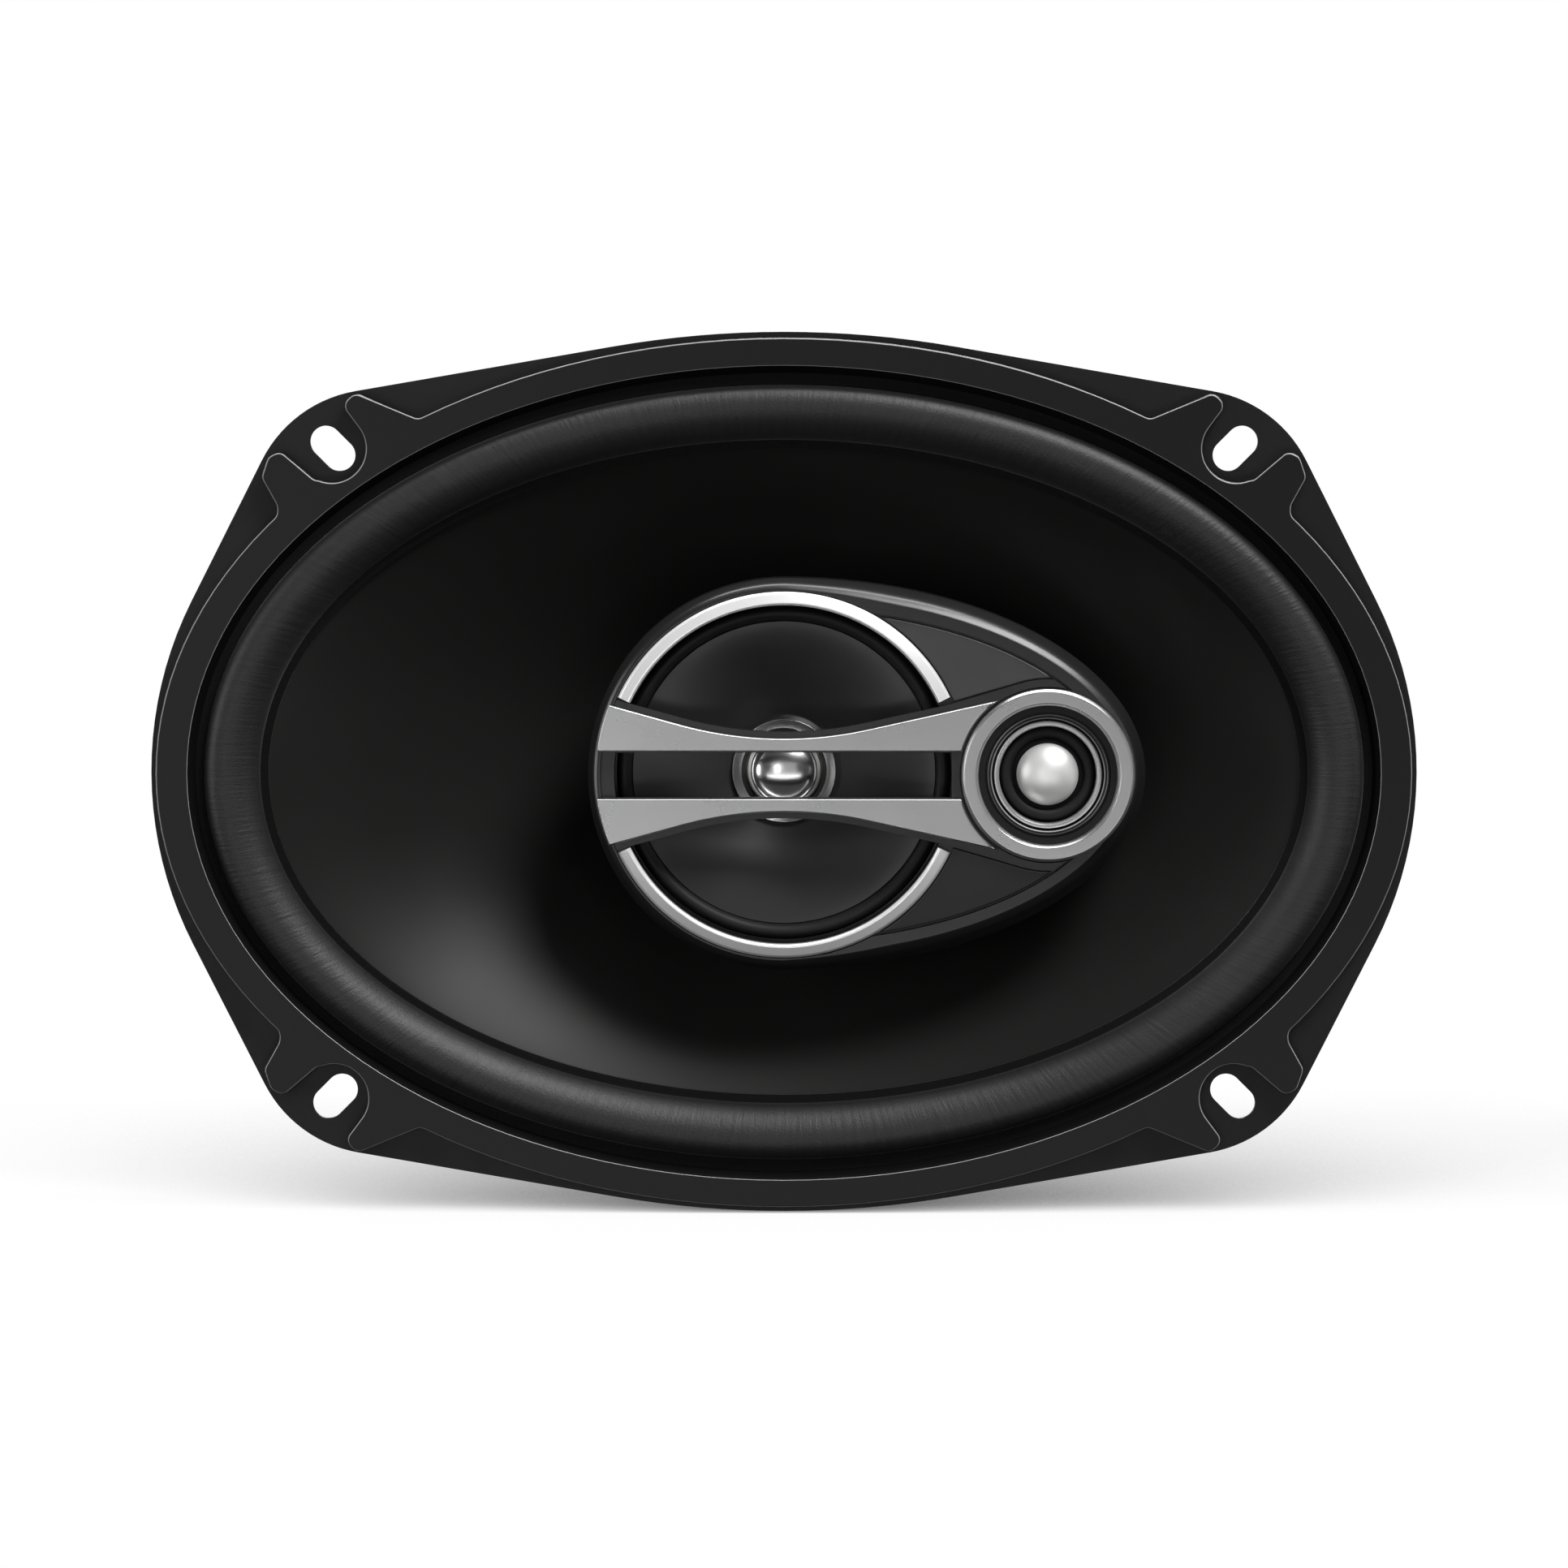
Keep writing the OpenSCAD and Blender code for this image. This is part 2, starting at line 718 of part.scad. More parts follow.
module back_plate() {
    color(bare_steel) stand_up() difference() {
        union() {
            disc(plate_r, -stack_back, -magnet_back);
            disc(pole_r, -magnet_back - eps, -base_depth);
        }
        disc(post_r + rivet_fit, -stack_back - over, -base_depth + over);
        disc(counterbore_r, -stack_back - over, -stack_back + counterbore_h);
    }
}

// The boot's outside, with a shallow dish in its rear face
boot_round = 4;
boot_dish_r = 33;
boot_dish_slope = 1.5;
boot_dish = 0.8;

module boot_shell() {
    rear = -boot_back - boot_t;
    rotate_extrude() polygon(concat(
        [[0, rear + boot_dish], [boot_dish_r, rear + boot_dish], [boot_dish_r + boot_dish_slope, rear]],
        arc([boot_r - boot_round, rear + boot_round], boot_round, -90, 0, 8),
        [[boot_r, -boot_lip_depth], [0, -boot_lip_depth]]));
}

module magnet_boot() {
    color(soft_black) stand_up() difference() {
        union() {
            boot_shell();
            translate([-boot_channel_w / 2, -boot_channel_y, -boot_back - boot_t])
                cube([boot_channel_w, boot_channel_y - plate_r, boot_back + boot_t - boot_lip_depth]);
        }
        disc(magnet_r, -magnet_back - over, -boot_lip_depth + over);
        disc(magnet_r - boot_step, -boot_back, -magnet_back);
        translate([-boot_channel_w / 2 + boot_channel_wall, -boot_channel_y + boot_channel_wall, -boot_back])
            cube([boot_channel_w - 2 * boot_channel_wall, boot_channel_y - plate_r,
                boot_back - boot_lip_depth + over]);
    }
}

module centre_post() {
    color(bare_steel) stand_up() difference() {
        union() {
            disc(post_r, -stack_back + post_inset, -post_top_depth);
            disc(post_collar_r, -base_depth, -base_depth + post_collar_h);
        }
        disc(post_bore_r, -stack_back - over, -post_top_depth + over);
    }
}

module post_nut() {
    color(bare_steel) stand_up() difference() {
        translate([0, 0, -stack_back + counterbore_h - nut_h]) cylinder(r = nut_r, h = nut_h, $fn = 6);
        disc(post_r, -stack_back - over, -magnet_back + over);
    }
}

// ---------- terminals and wiring ----------

module terminal_board() {
    color(black_plastic) stand_up() at_terminals() difference() {
        translate([-board_w / 2, -board_l / 2, pad_proud]) cube([board_w, board_l, board_t]);
        for (x = [-tab_x, tab_x]) translate([x, 0, 0]) cylinder(r = tab_hole_r, h = 2 * board_top);
        translate([0, board_rivet_y, 0]) cylinder(r = board_rivet_r + rivet_fit, h = 2 * board_top);
    }
}

// A spade tab: a foot flat on the board and a blade that stands up from it
module spade_tab(x, w) {
    at_terminals() translate([x, 0, board_top]) difference() {
        union() {
            translate([-w / 2, -tab_foot_back, 0]) cube([w, tab_foot_back + tab_foot_front, tab_t]);
            translate([-w / 2, tab_foot_front - tab_t, 0]) cube([w, tab_t, tab_blade]);
        }
        translate([0, 0, -over]) cylinder(r = tab_hole_r, h = 3 * over);
        translate([0, tab_foot_front + over, tab_blade - tab_foot_back]) rotate([90, 0, 0])
            cylinder(r = tab_lock_hole_r, h = 3 * over);
    }
}

module positive_tab() {
    color(brass) stand_up() spade_tab(tab_x, positive_w);
}

module negative_tab() {
    color(bare_steel) stand_up() spade_tab(-tab_x, negative_w);
}

module terminal_rivets() {
    color(brass) stand_up() at_terminals() {
        for (x = [-tab_x, tab_x]) translate([x, 0, 0]) {
            disc(tab_rivet_head_r, pad_proud - tab_rivet_head_h, pad_proud);
            disc(tab_rivet_r, pad_proud - eps, board_top + tab_t + eps);
            disc(tab_rivet_head_r, board_top + tab_t, board_top + tab_t + tab_rivet_head_h);
        }
        translate([0, board_rivet_y, 0]) {
            disc(board_rivet_head_r, -steel_t - board_rivet_head_h, -steel_t);
            disc(board_rivet_r, -steel_t - eps, board_top + eps);
            disc(board_rivet_head_r, board_top, board_top + board_rivet_head_h);
        }
    }
}

// An axial capacitor along X with its two bent leads
lead_wire_r = 0.35;
lead_bend = 1.2;

module capacitor(r, l, foot) {
    lead_l = l / 2 + lead_bend + lead_wire_r;
    translate([-l / 2, 0, 0]) rotate([0, 90, 0]) cylinder(r = r, h = l);
    translate([-lead_l, 0, 0]) rotate([0, 90, 0]) cylinder(r = lead_wire_r, h = 2 * lead_l);
    for (s = [-1, 1])
        translate([s * (l / 2 + lead_bend), 0, -foot]) cylinder(r = lead_wire_r, h = foot);
}

module crossover_capacitor() {
    color(sleeve_blue) stand_up() at_terminals()
        translate([0, capacitor_y, board_top + capacitor_r + glue_gap])
            capacitor(capacitor_r, capacitor_l, capacitor_r + glue_gap);
}

// The pair from the terminal board, over the magnet, up the hollow post and into the pod
lead_r = 0.65;
lead_route_motor = [[1, -53.2, -36.6], [1, -53.8, -42], [1, -53.0, -50], [1, -51.5, -58],
    [1, -51.3, -66], [1, -51.3, -75], [1, -50.2, -79.6], [1, -46, -81], [1, -36, -81], [1, -22, -81],
    [1, -8, -81], [1, -1.8, -80.4], [1, 0, -77], [1, 0, -66], [1, 0, -50], [1, 0, -34], [1, 0, -22]];
lead_route_pod = [[2, 1, -18.2], [8, 1.4, -17.6], [18, 1.6, -17.6], [26, 1.6, -17], [29.6, 1.4, -13],
    [29.9, 1.2, -7.6], [31.2, 1.2, -4.4], [34.2, 1.4, -3.9]];

module pod_lead_wires() {
    color(sleeve_red) stand_up() for (s = [-1, 1])
        wire(route(concat([for (p = lead_route_motor) [s * p[0], p[1], p[2]]],
            [for (p = lead_route_pod) [p[0], s * p[1], p[2]]]), 3), lead_r);
}

// ---------- pod ----------

// Egg-shaped outline: round on the midrange's side, half an ellipse on the tweeter's side
module egg(inset) {
    difference() {
        circle(r = pod_r - inset);
        translate([0, -pod_r]) square([pod_r, 2 * pod_r]);
    }
    intersection() {
        oval(pod_reach - inset, pod_r - inset);
        translate([0, -pod_r]) square([pod_reach, 2 * pod_r]);
    }
}

module recess_outline() {
    difference() {
        union() {
            egg(rim_inset);
            circle(r = mid_ring_r + 0.15);
        }
        translate([tweeter_x, 0]) circle(r = collar_in_r);
    }
}

// Outer edge of a bar: a hollow arc, tangent to a straight flare on each side
function bar_edge_y(x, slope) =
    let (run = bar_hollow_r * sin(slope))
    x < run
        ? bar_waist + bar_hollow_r - sqrt(pow(bar_hollow_r, 2) - x * x)
        : bar_waist + bar_hollow_r * (1 - cos(slope)) + (x - run) * tan(slope);

bar_steps = 12;

function bar_points(left, right) =
    let (run_l = bar_hollow_r * sin(bar_slope_left), run_r = bar_hollow_r * sin(bar_slope_right))
    concat(
        [[-left, bar_gap], [right, bar_gap], [right, bar_edge_y(right, bar_slope_right)]],
        [for (i = [bar_steps : -1 : 0]) let (x = run_r * i / bar_steps) [x, bar_edge_y(x, bar_slope_right)]],
        [for (i = [1 : bar_steps]) let (x = run_l * i / bar_steps) [-x, bar_edge_y(x, bar_slope_left)]],
        [[-left, bar_edge_y(left, bar_slope_left)]]);

module bar_outline(grow) {
    difference() {
        intersection() {
            offset(delta = grow) polygon(bar_points(bar_end_r + 2, tweeter_x));
            union() {
                circle(r = bar_end_r + grow);
                translate([0, -pod_r]) square([pod_reach, 2 * pod_r]);
            }
        }
        translate([tweeter_x, 0]) circle(r = bezel_r + 0.6 - grow);
    }
}

module bar_trim() {
    slab(bridge_top, bar_top - bar_bevel) bar_outline(0);
    slab(bar_top - bar_bevel, bar_top) bar_outline(-bar_bevel);
}

module bar_trim_upper() {
    color(silver_paint) stand_up() bar_trim();
}

module bar_trim_lower() {
    color(silver_paint) stand_up() mirror([0, 1, 0]) bar_trim();
}

module rail_outline() {
    offset(delta = bar_rise) polygon(bar_points(bar_end_r + 2, tweeter_x));
    hull() {
        translate([tweeter_x, 0]) intersection() {
            circle(r = collar_out_r);
            translate([-pod_r, 0]) square([2 * pod_r, pod_r]);
        }
        translate([30, bar_gap]) square([2, bar_edge_y(30, bar_slope_right) + bar_rise - bar_gap]);
    }
}

module bridge_outline() {
    difference() {
        intersection() {
            union() {
                rail_outline();
                mirror([0, 1]) rail_outline();
            }
            union() {
                egg(rim_inset + panel_gap);
                circle(r = mid_ring_r);
            }
        }
        translate([tweeter_x, 0]) circle(r = collar_in_r + 0.1);
        translate([-pod_r, -bar_gap + 0.2]) square([pod_r + 31, 2 * bar_gap - 0.4]);
    }
}

module bridge() {
    color(black_plastic) stand_up() slab(recess_z, bridge_top) bridge_outline();
}

module face_panel() {
    slab(recess_z, panel_top) difference() {
        egg(rim_inset + panel_gap);
        circle(r = mid_ring_r + 0.3);
        offset(delta = 0.25) bridge_outline();
        translate([tweeter_x, 0]) circle(r = collar_in_r + 0.3);
        translate([-pod_r, -pod_r]) square([2 * pod_reach, pod_r + 1]);
        translate([tweeter_x, 0]) square([pod_reach, 8]);
    }
}

module face_panel_upper() {
    color(panel_grey) stand_up() face_panel();
}

module face_panel_lower() {
    color(panel_grey) stand_up() mirror([0, 1, 0]) face_panel();
}

ring_bevel = 0.4;
ring_fall = 0.6;

module ring_trim() {
    rotate(ring_start) rotate_extrude(angle = 180 - 2 * ring_start)
        polygon([[mid_open_r, recess_z], [mid_ring_r, recess_z],
            [mid_ring_r, ring_top - ring_fall - ring_bevel],
            [mid_ring_r - ring_bevel, ring_top - ring_fall],
            [mid_open_r + ring_bevel, ring_top],
            [mid_open_r, ring_top - ring_bevel]]);
}

module ring_trim_upper() {
    color(silver_paint) stand_up() ring_trim();
}

module ring_trim_lower() {
    color(silver_paint) stand_up() mirror([0, 1, 0]) ring_trim();
}

module pod_bosses(r, z0, z1) {
    for (s = [-1, 1])
        translate([screw_at[0], s * screw_at[1], 0]) disc(r, z0, z1);
}

module pod_shell() {
    difference() {
        slab(pod_back_z, pod_face) egg(0);
        slab(pod_back_z - over, front_under_z) egg(pod_wall);
    }
}

module pod_housing() {
    color(black_plastic) stand_up() difference() {
        union() {
            pod_shell();
            tube(mid_collar_r, mid_open_r, mid_rim_z, front_under_z + eps);
            pod_bosses(screw_boss_r, pod_back_z + glue_gap, front_under_z + eps);
        }
        disc(mid_open_r, -over, pod_face + over);
        slab(recess_z, pod_face + over) recess_outline();
        translate([tweeter_x, 0, 0]) disc(bezel_in_r, 0, pod_face + over);
        pod_bosses(screw_r + rivet_fit, pod_back_z, screw_tip + 0.2);
    }
}

// The midrange's cup, tapered towards its floor so that the cone can come forward
module pod_back() {
    color(black_plastic) stand_up() difference() {
        union() {
            slab(pod_back_z - pod_floor_t, pod_back_z) egg(0);
            rotate_extrude() polygon(cup_profile(mid_cup_r + mid_cup_wall, mid_cup_depth, pod_back_z - eps));
            disc(boss_r, boss_depth, mid_cup_floor);
        }
        rotate_extrude() polygon(cup_profile(mid_cup_r, mid_cup_floor, pod_back_z + over));
        disc(post_r, boss_depth - over, mid_cup_floor + over);
        pod_bosses(screw_r + 0.2, pod_back_z - pod_floor_t - over, pod_back_z + over);
    }
}

function cup_profile(r, floor_z, top_z) =
    [[0, floor_z], [r - mid_cup_taper, floor_z], [r, floor_z + mid_cup_taper], [r, top_z], [0, top_z]];

module pod_screws() {
    head_z = pod_back_z - pod_floor_t - screw_head_h;
    color(bare_steel) stand_up() {
        pod_bosses(screw_r, head_z + screw_head_h, screw_tip);
        difference() {
            pod_bosses(screw_head_r, head_z, head_z + screw_head_h);
            for (s = [-1, 1], a = [0, 90])
                translate([screw_at[0], s * screw_at[1], head_z]) rotate(a) cube(screw_slot, center = true);
        }
    }
}

// ---------- midrange ----------

// Basket of the midrange: a rim under the roll, a short wall and a cone down to the yoke
module midrange_frame() {
    foot_r = mid_yoke_r + 0.05;
    color(black_plastic) stand_up() rotate_extrude() polygon([
        [mid_collar_r, mid_rim_z], [mid_frame_in_r, mid_rim_z], [mid_frame_in_r, mid_frame_knee + 0.5],
        [foot_r, mid_floor_z + 3.4], [foot_r, mid_frame_foot], [foot_r + 1.2, mid_frame_foot],
        [foot_r + 1.2, mid_floor_z + 2.4], [mid_frame_out_r, mid_frame_knee - 1],
        [mid_frame_out_r, mid_rim_z - 1.5], [mid_collar_r, mid_rim_z - 1.5]]);
}

module midrange_yoke() {
    color(bare_steel) stand_up() {
        tube(mid_yoke_r, mid_yoke_in_r, mid_floor_z - eps, mid_yoke_top);
        disc(mid_yoke_r, mid_yoke_z, mid_floor_z);
    }
}

module midrange_magnet() {
    color(ferrite) stand_up() disc(mid_magnet_r, mid_floor_z, mid_plate_z);
}

module midrange_pole_plate() {
    color(bare_steel) stand_up() disc(mid_plate_r, mid_plate_z, mid_plate_top);
}

dome_steps = 12;

module phase_plug() {
    color(chrome) stand_up() rotate_extrude() polygon(concat(
        [[0, mid_plate_top], [plug_r, mid_plate_top]],
        [for (i = [0 : dome_steps]) let (a = 90 * i / dome_steps)
            [plug_r * cos(a), plug_shoulder + plug_rise * sin(a)]]));
}

// Section of a half roll: arches of half width w and height h about radius r, with the foot at z
roll_sides = 10;

function roll_arch(r, w, h, z) =
    [for (i = [0 : roll_sides]) let (a = 180 * i / roll_sides) [r - w * cos(a), z + h * sin(a)]];

module midrange_surround() {
    roll_in = mid_crease_r + 0.15;
    middle = (roll_in + mid_roll_out_r) / 2;
    half = (mid_roll_out_r - roll_in) / 2;
    cloth = 0.4;
    rise = 1.5;
    foot = mid_rim_z + glue_gap / 2;
    color(soft_black) stand_up() rotate_extrude() polygon(concat(
        roll_arch(middle, half, rise, foot), reverse(roll_arch(middle, half - cloth, rise - cloth, foot))));
}

mid_cone_steps = 8;
mid_cone_curve = 1.25;

function mid_cone_row(drop) = [for (i = [0 : mid_cone_steps]) let (s = i / mid_cone_steps)
    [mid_neck_r + (mid_crease_r - mid_neck_r) * s,
        mid_neck_z + (mid_rim_z - mid_neck_z) * (1 - pow(1 - s, mid_cone_curve)) - drop]];

module midrange_cone() {
    color(soft_black) stand_up() rotate_extrude()
        polygon(concat(mid_cone_row(0), reverse(mid_cone_row(mid_cone_t))));
}

module midrange_neck_ring() {
    edge = 0.4;
    color(chrome) stand_up() rotate_extrude() polygon([
        [mid_coil_r, mid_ring_foot], [mid_neck_r, mid_ring_foot], [mid_neck_r, mid_ring_z - edge],
        [mid_neck_r - edge, mid_ring_z], [mid_coil_r + edge, mid_ring_z], [mid_coil_r, mid_ring_z - edge]]);
}

module midrange_voice_coil() {
    color(copper) stand_up() tube(mid_coil_r, mid_coil_in_r, mid_coil_z[0], mid_coil_z[1]);
}

// ---------- tweeter ----------

module at_tweeter() {
    stand_up() translate([tweeter_x, 0, 0]) children();
}

module tweeter_cup() {
    color(black_plastic) at_tweeter() {
        tube(tw_cup_r, tw_cup_r - 1, tw_floor_z - eps, pod_face);
        disc(tw_cup_r, tw_cup_z, tw_floor_z);
    }
}

module tweeter_yoke() {
    color(bare_steel) at_tweeter() {
        tube(tw_yoke_r, tw_yoke_in_r, tw_floor_z + tw_yoke_floor - eps, tw_yoke_top);
        disc(tw_yoke_r, tw_floor_z, tw_floor_z + tw_yoke_floor);
    }
}

module tweeter_magnet() {
    color(ferrite) at_tweeter() disc(tw_magnet_r, tw_floor_z + tw_yoke_floor, tw_plate_z[0]);
}

module tweeter_pole_plate() {
    color(bare_steel) at_tweeter() disc(tw_plate_r, tw_plate_z[0], tw_plate_z[1]);
}

module tweeter_voice_coil() {
    color(copper) at_tweeter() tube(tw_coil_r, tw_coil_in_r, tw_coil_z[0], tw_coil_z[1]);
}

// Dome: a thin spherical cap of base radius tw_dome_r and height tw_dome_h
module tweeter_dome() {
    ball_r = (pow(tw_dome_r, 2) + pow(tw_dome_h, 2)) / (2 * tw_dome_h);
    half_angle = asin(tw_dome_r / ball_r);
    turns = [for (i = [0 : dome_steps]) half_angle * i / dome_steps];
    color(silver_paint) at_tweeter() translate([0, 0, tw_dome_z + tw_dome_h - ball_r]) rotate_extrude()
        polygon(concat(
            [for (a = turns) ball_r * [sin(a), cos(a)]],
            [for (a = reverse(turns)) (ball_r - tw_dome_t) * [sin(a), cos(a)]]));
}

module tweeter_surround() {
    color(soft_black) at_tweeter() rotate_extrude() polygon(concat(
        roll_arch(tw_roll_r, tw_roll_half, tw_roll_h, tw_roll_foot + tw_dome_t),
        [[tw_rim_r, tw_roll_foot + tw_dome_t], [tw_rim_r, tw_roll_foot]],
        reverse(roll_arch(tw_roll_r, tw_roll_half - tw_dome_t, tw_roll_h, tw_roll_foot))));
}

// Faceplate: a stepped collar between the bezel and the dome's roll, [radius, level] round its section
plate_section = [[tw_rim_in_r, 3.8], [11.85, 3.8], [11.85, 6.9], [11.5, 6.9], [11.2, 6.5], [10.8, 6.5],
    [10.5, 6.0], [9.9, 6.0], [tw_rim_r, 5.4], [tw_rim_in_r, 4.6]];
accent_section = [[tw_rim_in_r, 5.45], [9.55, 5.45], [9.85, 6.05], [10.1, 6.05], [10.1, 6.6], [9.8, 6.9],
    [9.3, 6.9], [tw_rim_in_r, 6.5]];

module tweeter_faceplate() {
    color(black_plastic) at_tweeter() rotate_extrude() polygon(plate_section);
}

module tweeter_accent_ring() {
    color(chrome) at_tweeter() rotate_extrude() polygon(accent_section);
}

module tweeter_bezel() {
    edge = 0.5;
    color(silver_paint) at_tweeter() rotate_extrude() polygon([
        [tw_cup_r - 1 + glue_gap / 2, bezel_foot], [bezel_r, bezel_foot], [bezel_r, bezel_top - edge],
        [bezel_r - edge, bezel_top], [bezel_in_r + edge, bezel_top], [bezel_in_r, bezel_top - edge],
        [tw_cup_r - edge, bezel_foot + edge]]);
}

module tweeter_capacitor() {
    color(sleeve_blue) stand_up() translate(tw_capacitor_at)
        capacitor(tw_capacitor_r, tw_capacitor_l, tw_capacitor_at[2] - pod_back_z);
}

basket();
front_gasket();
surround();
spider();
tinsel_leads();
top_plate();
ferrite_magnet();
back_plate();
magnet_boot();
basket_rivets();
centre_post();
post_nut();
terminal_board();
positive_tab();
negative_tab();
terminal_rivets();
crossover_capacitor();
pod_lead_wires();
woofer_cone();
voice_coil_former();
voice_coil_winding();
dust_cap();
lead_eyelets();
pod_back();
pod_housing();
pod_screws();
face_panel_upper();
face_panel_lower();
bridge();
bar_trim_upper();
bar_trim_lower();
ring_trim_upper();
ring_trim_lower();
midrange_frame();
midrange_yoke();
midrange_magnet();
midrange_pole_plate();
phase_plug();
midrange_surround();
midrange_cone();
midrange_voice_coil();
midrange_neck_ring();
tweeter_cup();
tweeter_yoke();
tweeter_magnet();
tweeter_pole_plate();
tweeter_faceplate();
tweeter_accent_ring();
tweeter_bezel();
tweeter_surround();
tweeter_dome();
tweeter_voice_coil();
tweeter_capacitor();
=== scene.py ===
"""Looks of a three-way coaxial car speaker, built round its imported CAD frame.

Lengths are in millimetres in the speaker's own axes: x to the right, up, and front towards the
listener. place() turns them into the frame's axes, in metres. The stage and the camera come last.
"""
import math

import bmesh
import bpy
import numpy as np
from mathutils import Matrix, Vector


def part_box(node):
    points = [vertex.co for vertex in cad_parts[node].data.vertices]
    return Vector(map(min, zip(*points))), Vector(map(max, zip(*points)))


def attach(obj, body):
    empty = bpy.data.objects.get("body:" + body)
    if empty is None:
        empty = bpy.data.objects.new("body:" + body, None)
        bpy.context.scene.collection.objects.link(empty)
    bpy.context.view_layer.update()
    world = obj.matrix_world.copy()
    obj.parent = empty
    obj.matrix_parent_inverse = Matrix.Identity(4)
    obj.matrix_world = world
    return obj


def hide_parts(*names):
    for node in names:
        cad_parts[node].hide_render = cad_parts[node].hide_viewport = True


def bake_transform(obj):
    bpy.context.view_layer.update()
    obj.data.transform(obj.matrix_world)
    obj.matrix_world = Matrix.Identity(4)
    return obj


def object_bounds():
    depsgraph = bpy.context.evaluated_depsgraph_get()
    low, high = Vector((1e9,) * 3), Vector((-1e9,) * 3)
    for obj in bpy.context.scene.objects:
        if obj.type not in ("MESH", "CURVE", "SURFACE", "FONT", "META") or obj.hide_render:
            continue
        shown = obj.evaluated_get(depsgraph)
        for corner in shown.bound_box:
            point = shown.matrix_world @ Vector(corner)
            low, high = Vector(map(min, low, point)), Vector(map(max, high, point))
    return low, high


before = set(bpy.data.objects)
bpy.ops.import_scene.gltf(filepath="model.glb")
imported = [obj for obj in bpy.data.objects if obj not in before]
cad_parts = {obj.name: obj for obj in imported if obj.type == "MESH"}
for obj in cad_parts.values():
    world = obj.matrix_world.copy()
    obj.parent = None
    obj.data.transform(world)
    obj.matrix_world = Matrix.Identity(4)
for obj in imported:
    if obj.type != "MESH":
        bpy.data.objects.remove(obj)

cad_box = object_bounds()

MM = 0.001
NEAR = 0.01               # two levels closer than this are the same
GAP = 0.05                # between pieces that sit on each other
SAME_POINT = 1e-7         # metres
HALVINGS = 50             # of a search interval
OVAL_STEPS = 288
ROUND_STEPS = 144
SHARP_ANGLE = math.radians(32)


# ---------- measures ----------

def span(node):
    """A CAD node's (lowest, highest) x, up and front, in millimetres."""
    low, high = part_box(node)
    return (low.x / MM, high.x / MM), (low.z / MM, high.z / MM), (-high.y / MM, -low.y / MM)


# From the frame. A and B are an oval's half width and half height, R is a radius, and X and REACH are
# measured to the right of the main axis. All the others are front levels.
FLANGE_FRONT = span("basket")[2][1]
GASKET_FRONT = span("front_gasket")[2][1]
LIP_A = span("surround")[0][1]
LIP_B = span("surround")[1][1]
CONE_A = span("woofer_cone")[0][1]
CONE_B = span("woofer_cone")[1][1]
POD_R = span("pod_housing")[1][1]
POD_REACH = span("pod_housing")[0][1]
POD_FACE = span("pod_housing")[2][1]
BAR_TOP = span("bar_trim_upper")[2][1]
BRIDGE_TOP = span("bridge")[2][1]
RING_TOP = span("ring_trim_upper")[2][1]
RECESS = span("ring_trim_upper")[2][0]
TWEETER_X = sum(span("tweeter_bezel")[0]) / 2
BEZEL_R = span("tweeter_bezel")[1][1]
BEZEL_TOP = span("tweeter_bezel")[2][1]
MID_RING_R = span("ring_trim_upper")[1][1]

# The frame doesn't give these: front levels of the woofer cone's rim and neck, and the radius of its neck.
CONE_EDGE, CONE_NECK, CONE_NECK_R = -1.5, -38.0, 19.15
# The woofer's roll: half width and half height of its outer foot, then its width, height and thickness.
ROLL_A, ROLL_B, ROLL_W, ROLL_H, ROLL_T = 107.6, 72.0, 10.2, 4.4, 0.55


# ---------- shapes ----------

def place(x, up, front):
    return (x * MM, -front * MM, up * MM)


def arc(centre, radii, start, end, steps):
    """Points on an ellipse from one angle to another, in radians, with both ends."""
    turns = [start + (end - start) * k / steps for k in range(steps + 1)]
    return [(centre[0] + radii[0] * math.cos(t), centre[1] + radii[1] * math.sin(t)) for t in turns]


def rounded(points, radius, steps=4):
    """A closed outline with an arc at each corner. radius is one number, or one for each corner."""
    straight, most_trim = math.radians(88), 0.48
    out = []
    for i, corner in enumerate(points):
        p = np.array(corner, float)
        before = np.array(points[i - 1], float) - p
        after = np.array(points[(i + 1) % len(points)], float) - p
        len_a, len_b = np.linalg.norm(before), np.linalg.norm(after)
        ua, ub = before / len_a, after / len_b
        half = math.acos(np.clip(ua @ ub, -1, 1)) / 2
        r = radius[i] if isinstance(radius, (list, tuple)) else radius
        if r <= 0 or half > straight:
            out.append(tuple(p))
            continue
        trim = min(r / math.tan(half), most_trim * len_a, most_trim * len_b)
        centre = p + (ua + ub) / np.linalg.norm(ua + ub) * trim / math.cos(half)
        spoke_a, spoke_b = p + ua * trim - centre, p + ub * trim - centre
        sweep = math.pi - 2 * half
        for k in range(steps + 1):
            f = k / steps
            turn = (math.sin((1 - f) * sweep) * spoke_a + math.sin(f * sweep) * spoke_b) / math.sin(sweep)
            out.append(tuple(centre + turn))
    return out


def inset(points, distance):
    """A closed anticlockwise outline moved inwards, with mitred corners."""
    p = np.array(points, float)
    along = np.roll(p, -1, axis=0) - p
    inward = np.stack([-along[:, 1], along[:, 0]], 1) / np.linalg.norm(along, axis=1)[:, None]
    before = np.roll(inward, 1, axis=0)
    mitre = (inward + before) / (1 + np.sum(inward * before, axis=1))[:, None]
    return [tuple(q) for q in p + mitre * distance]


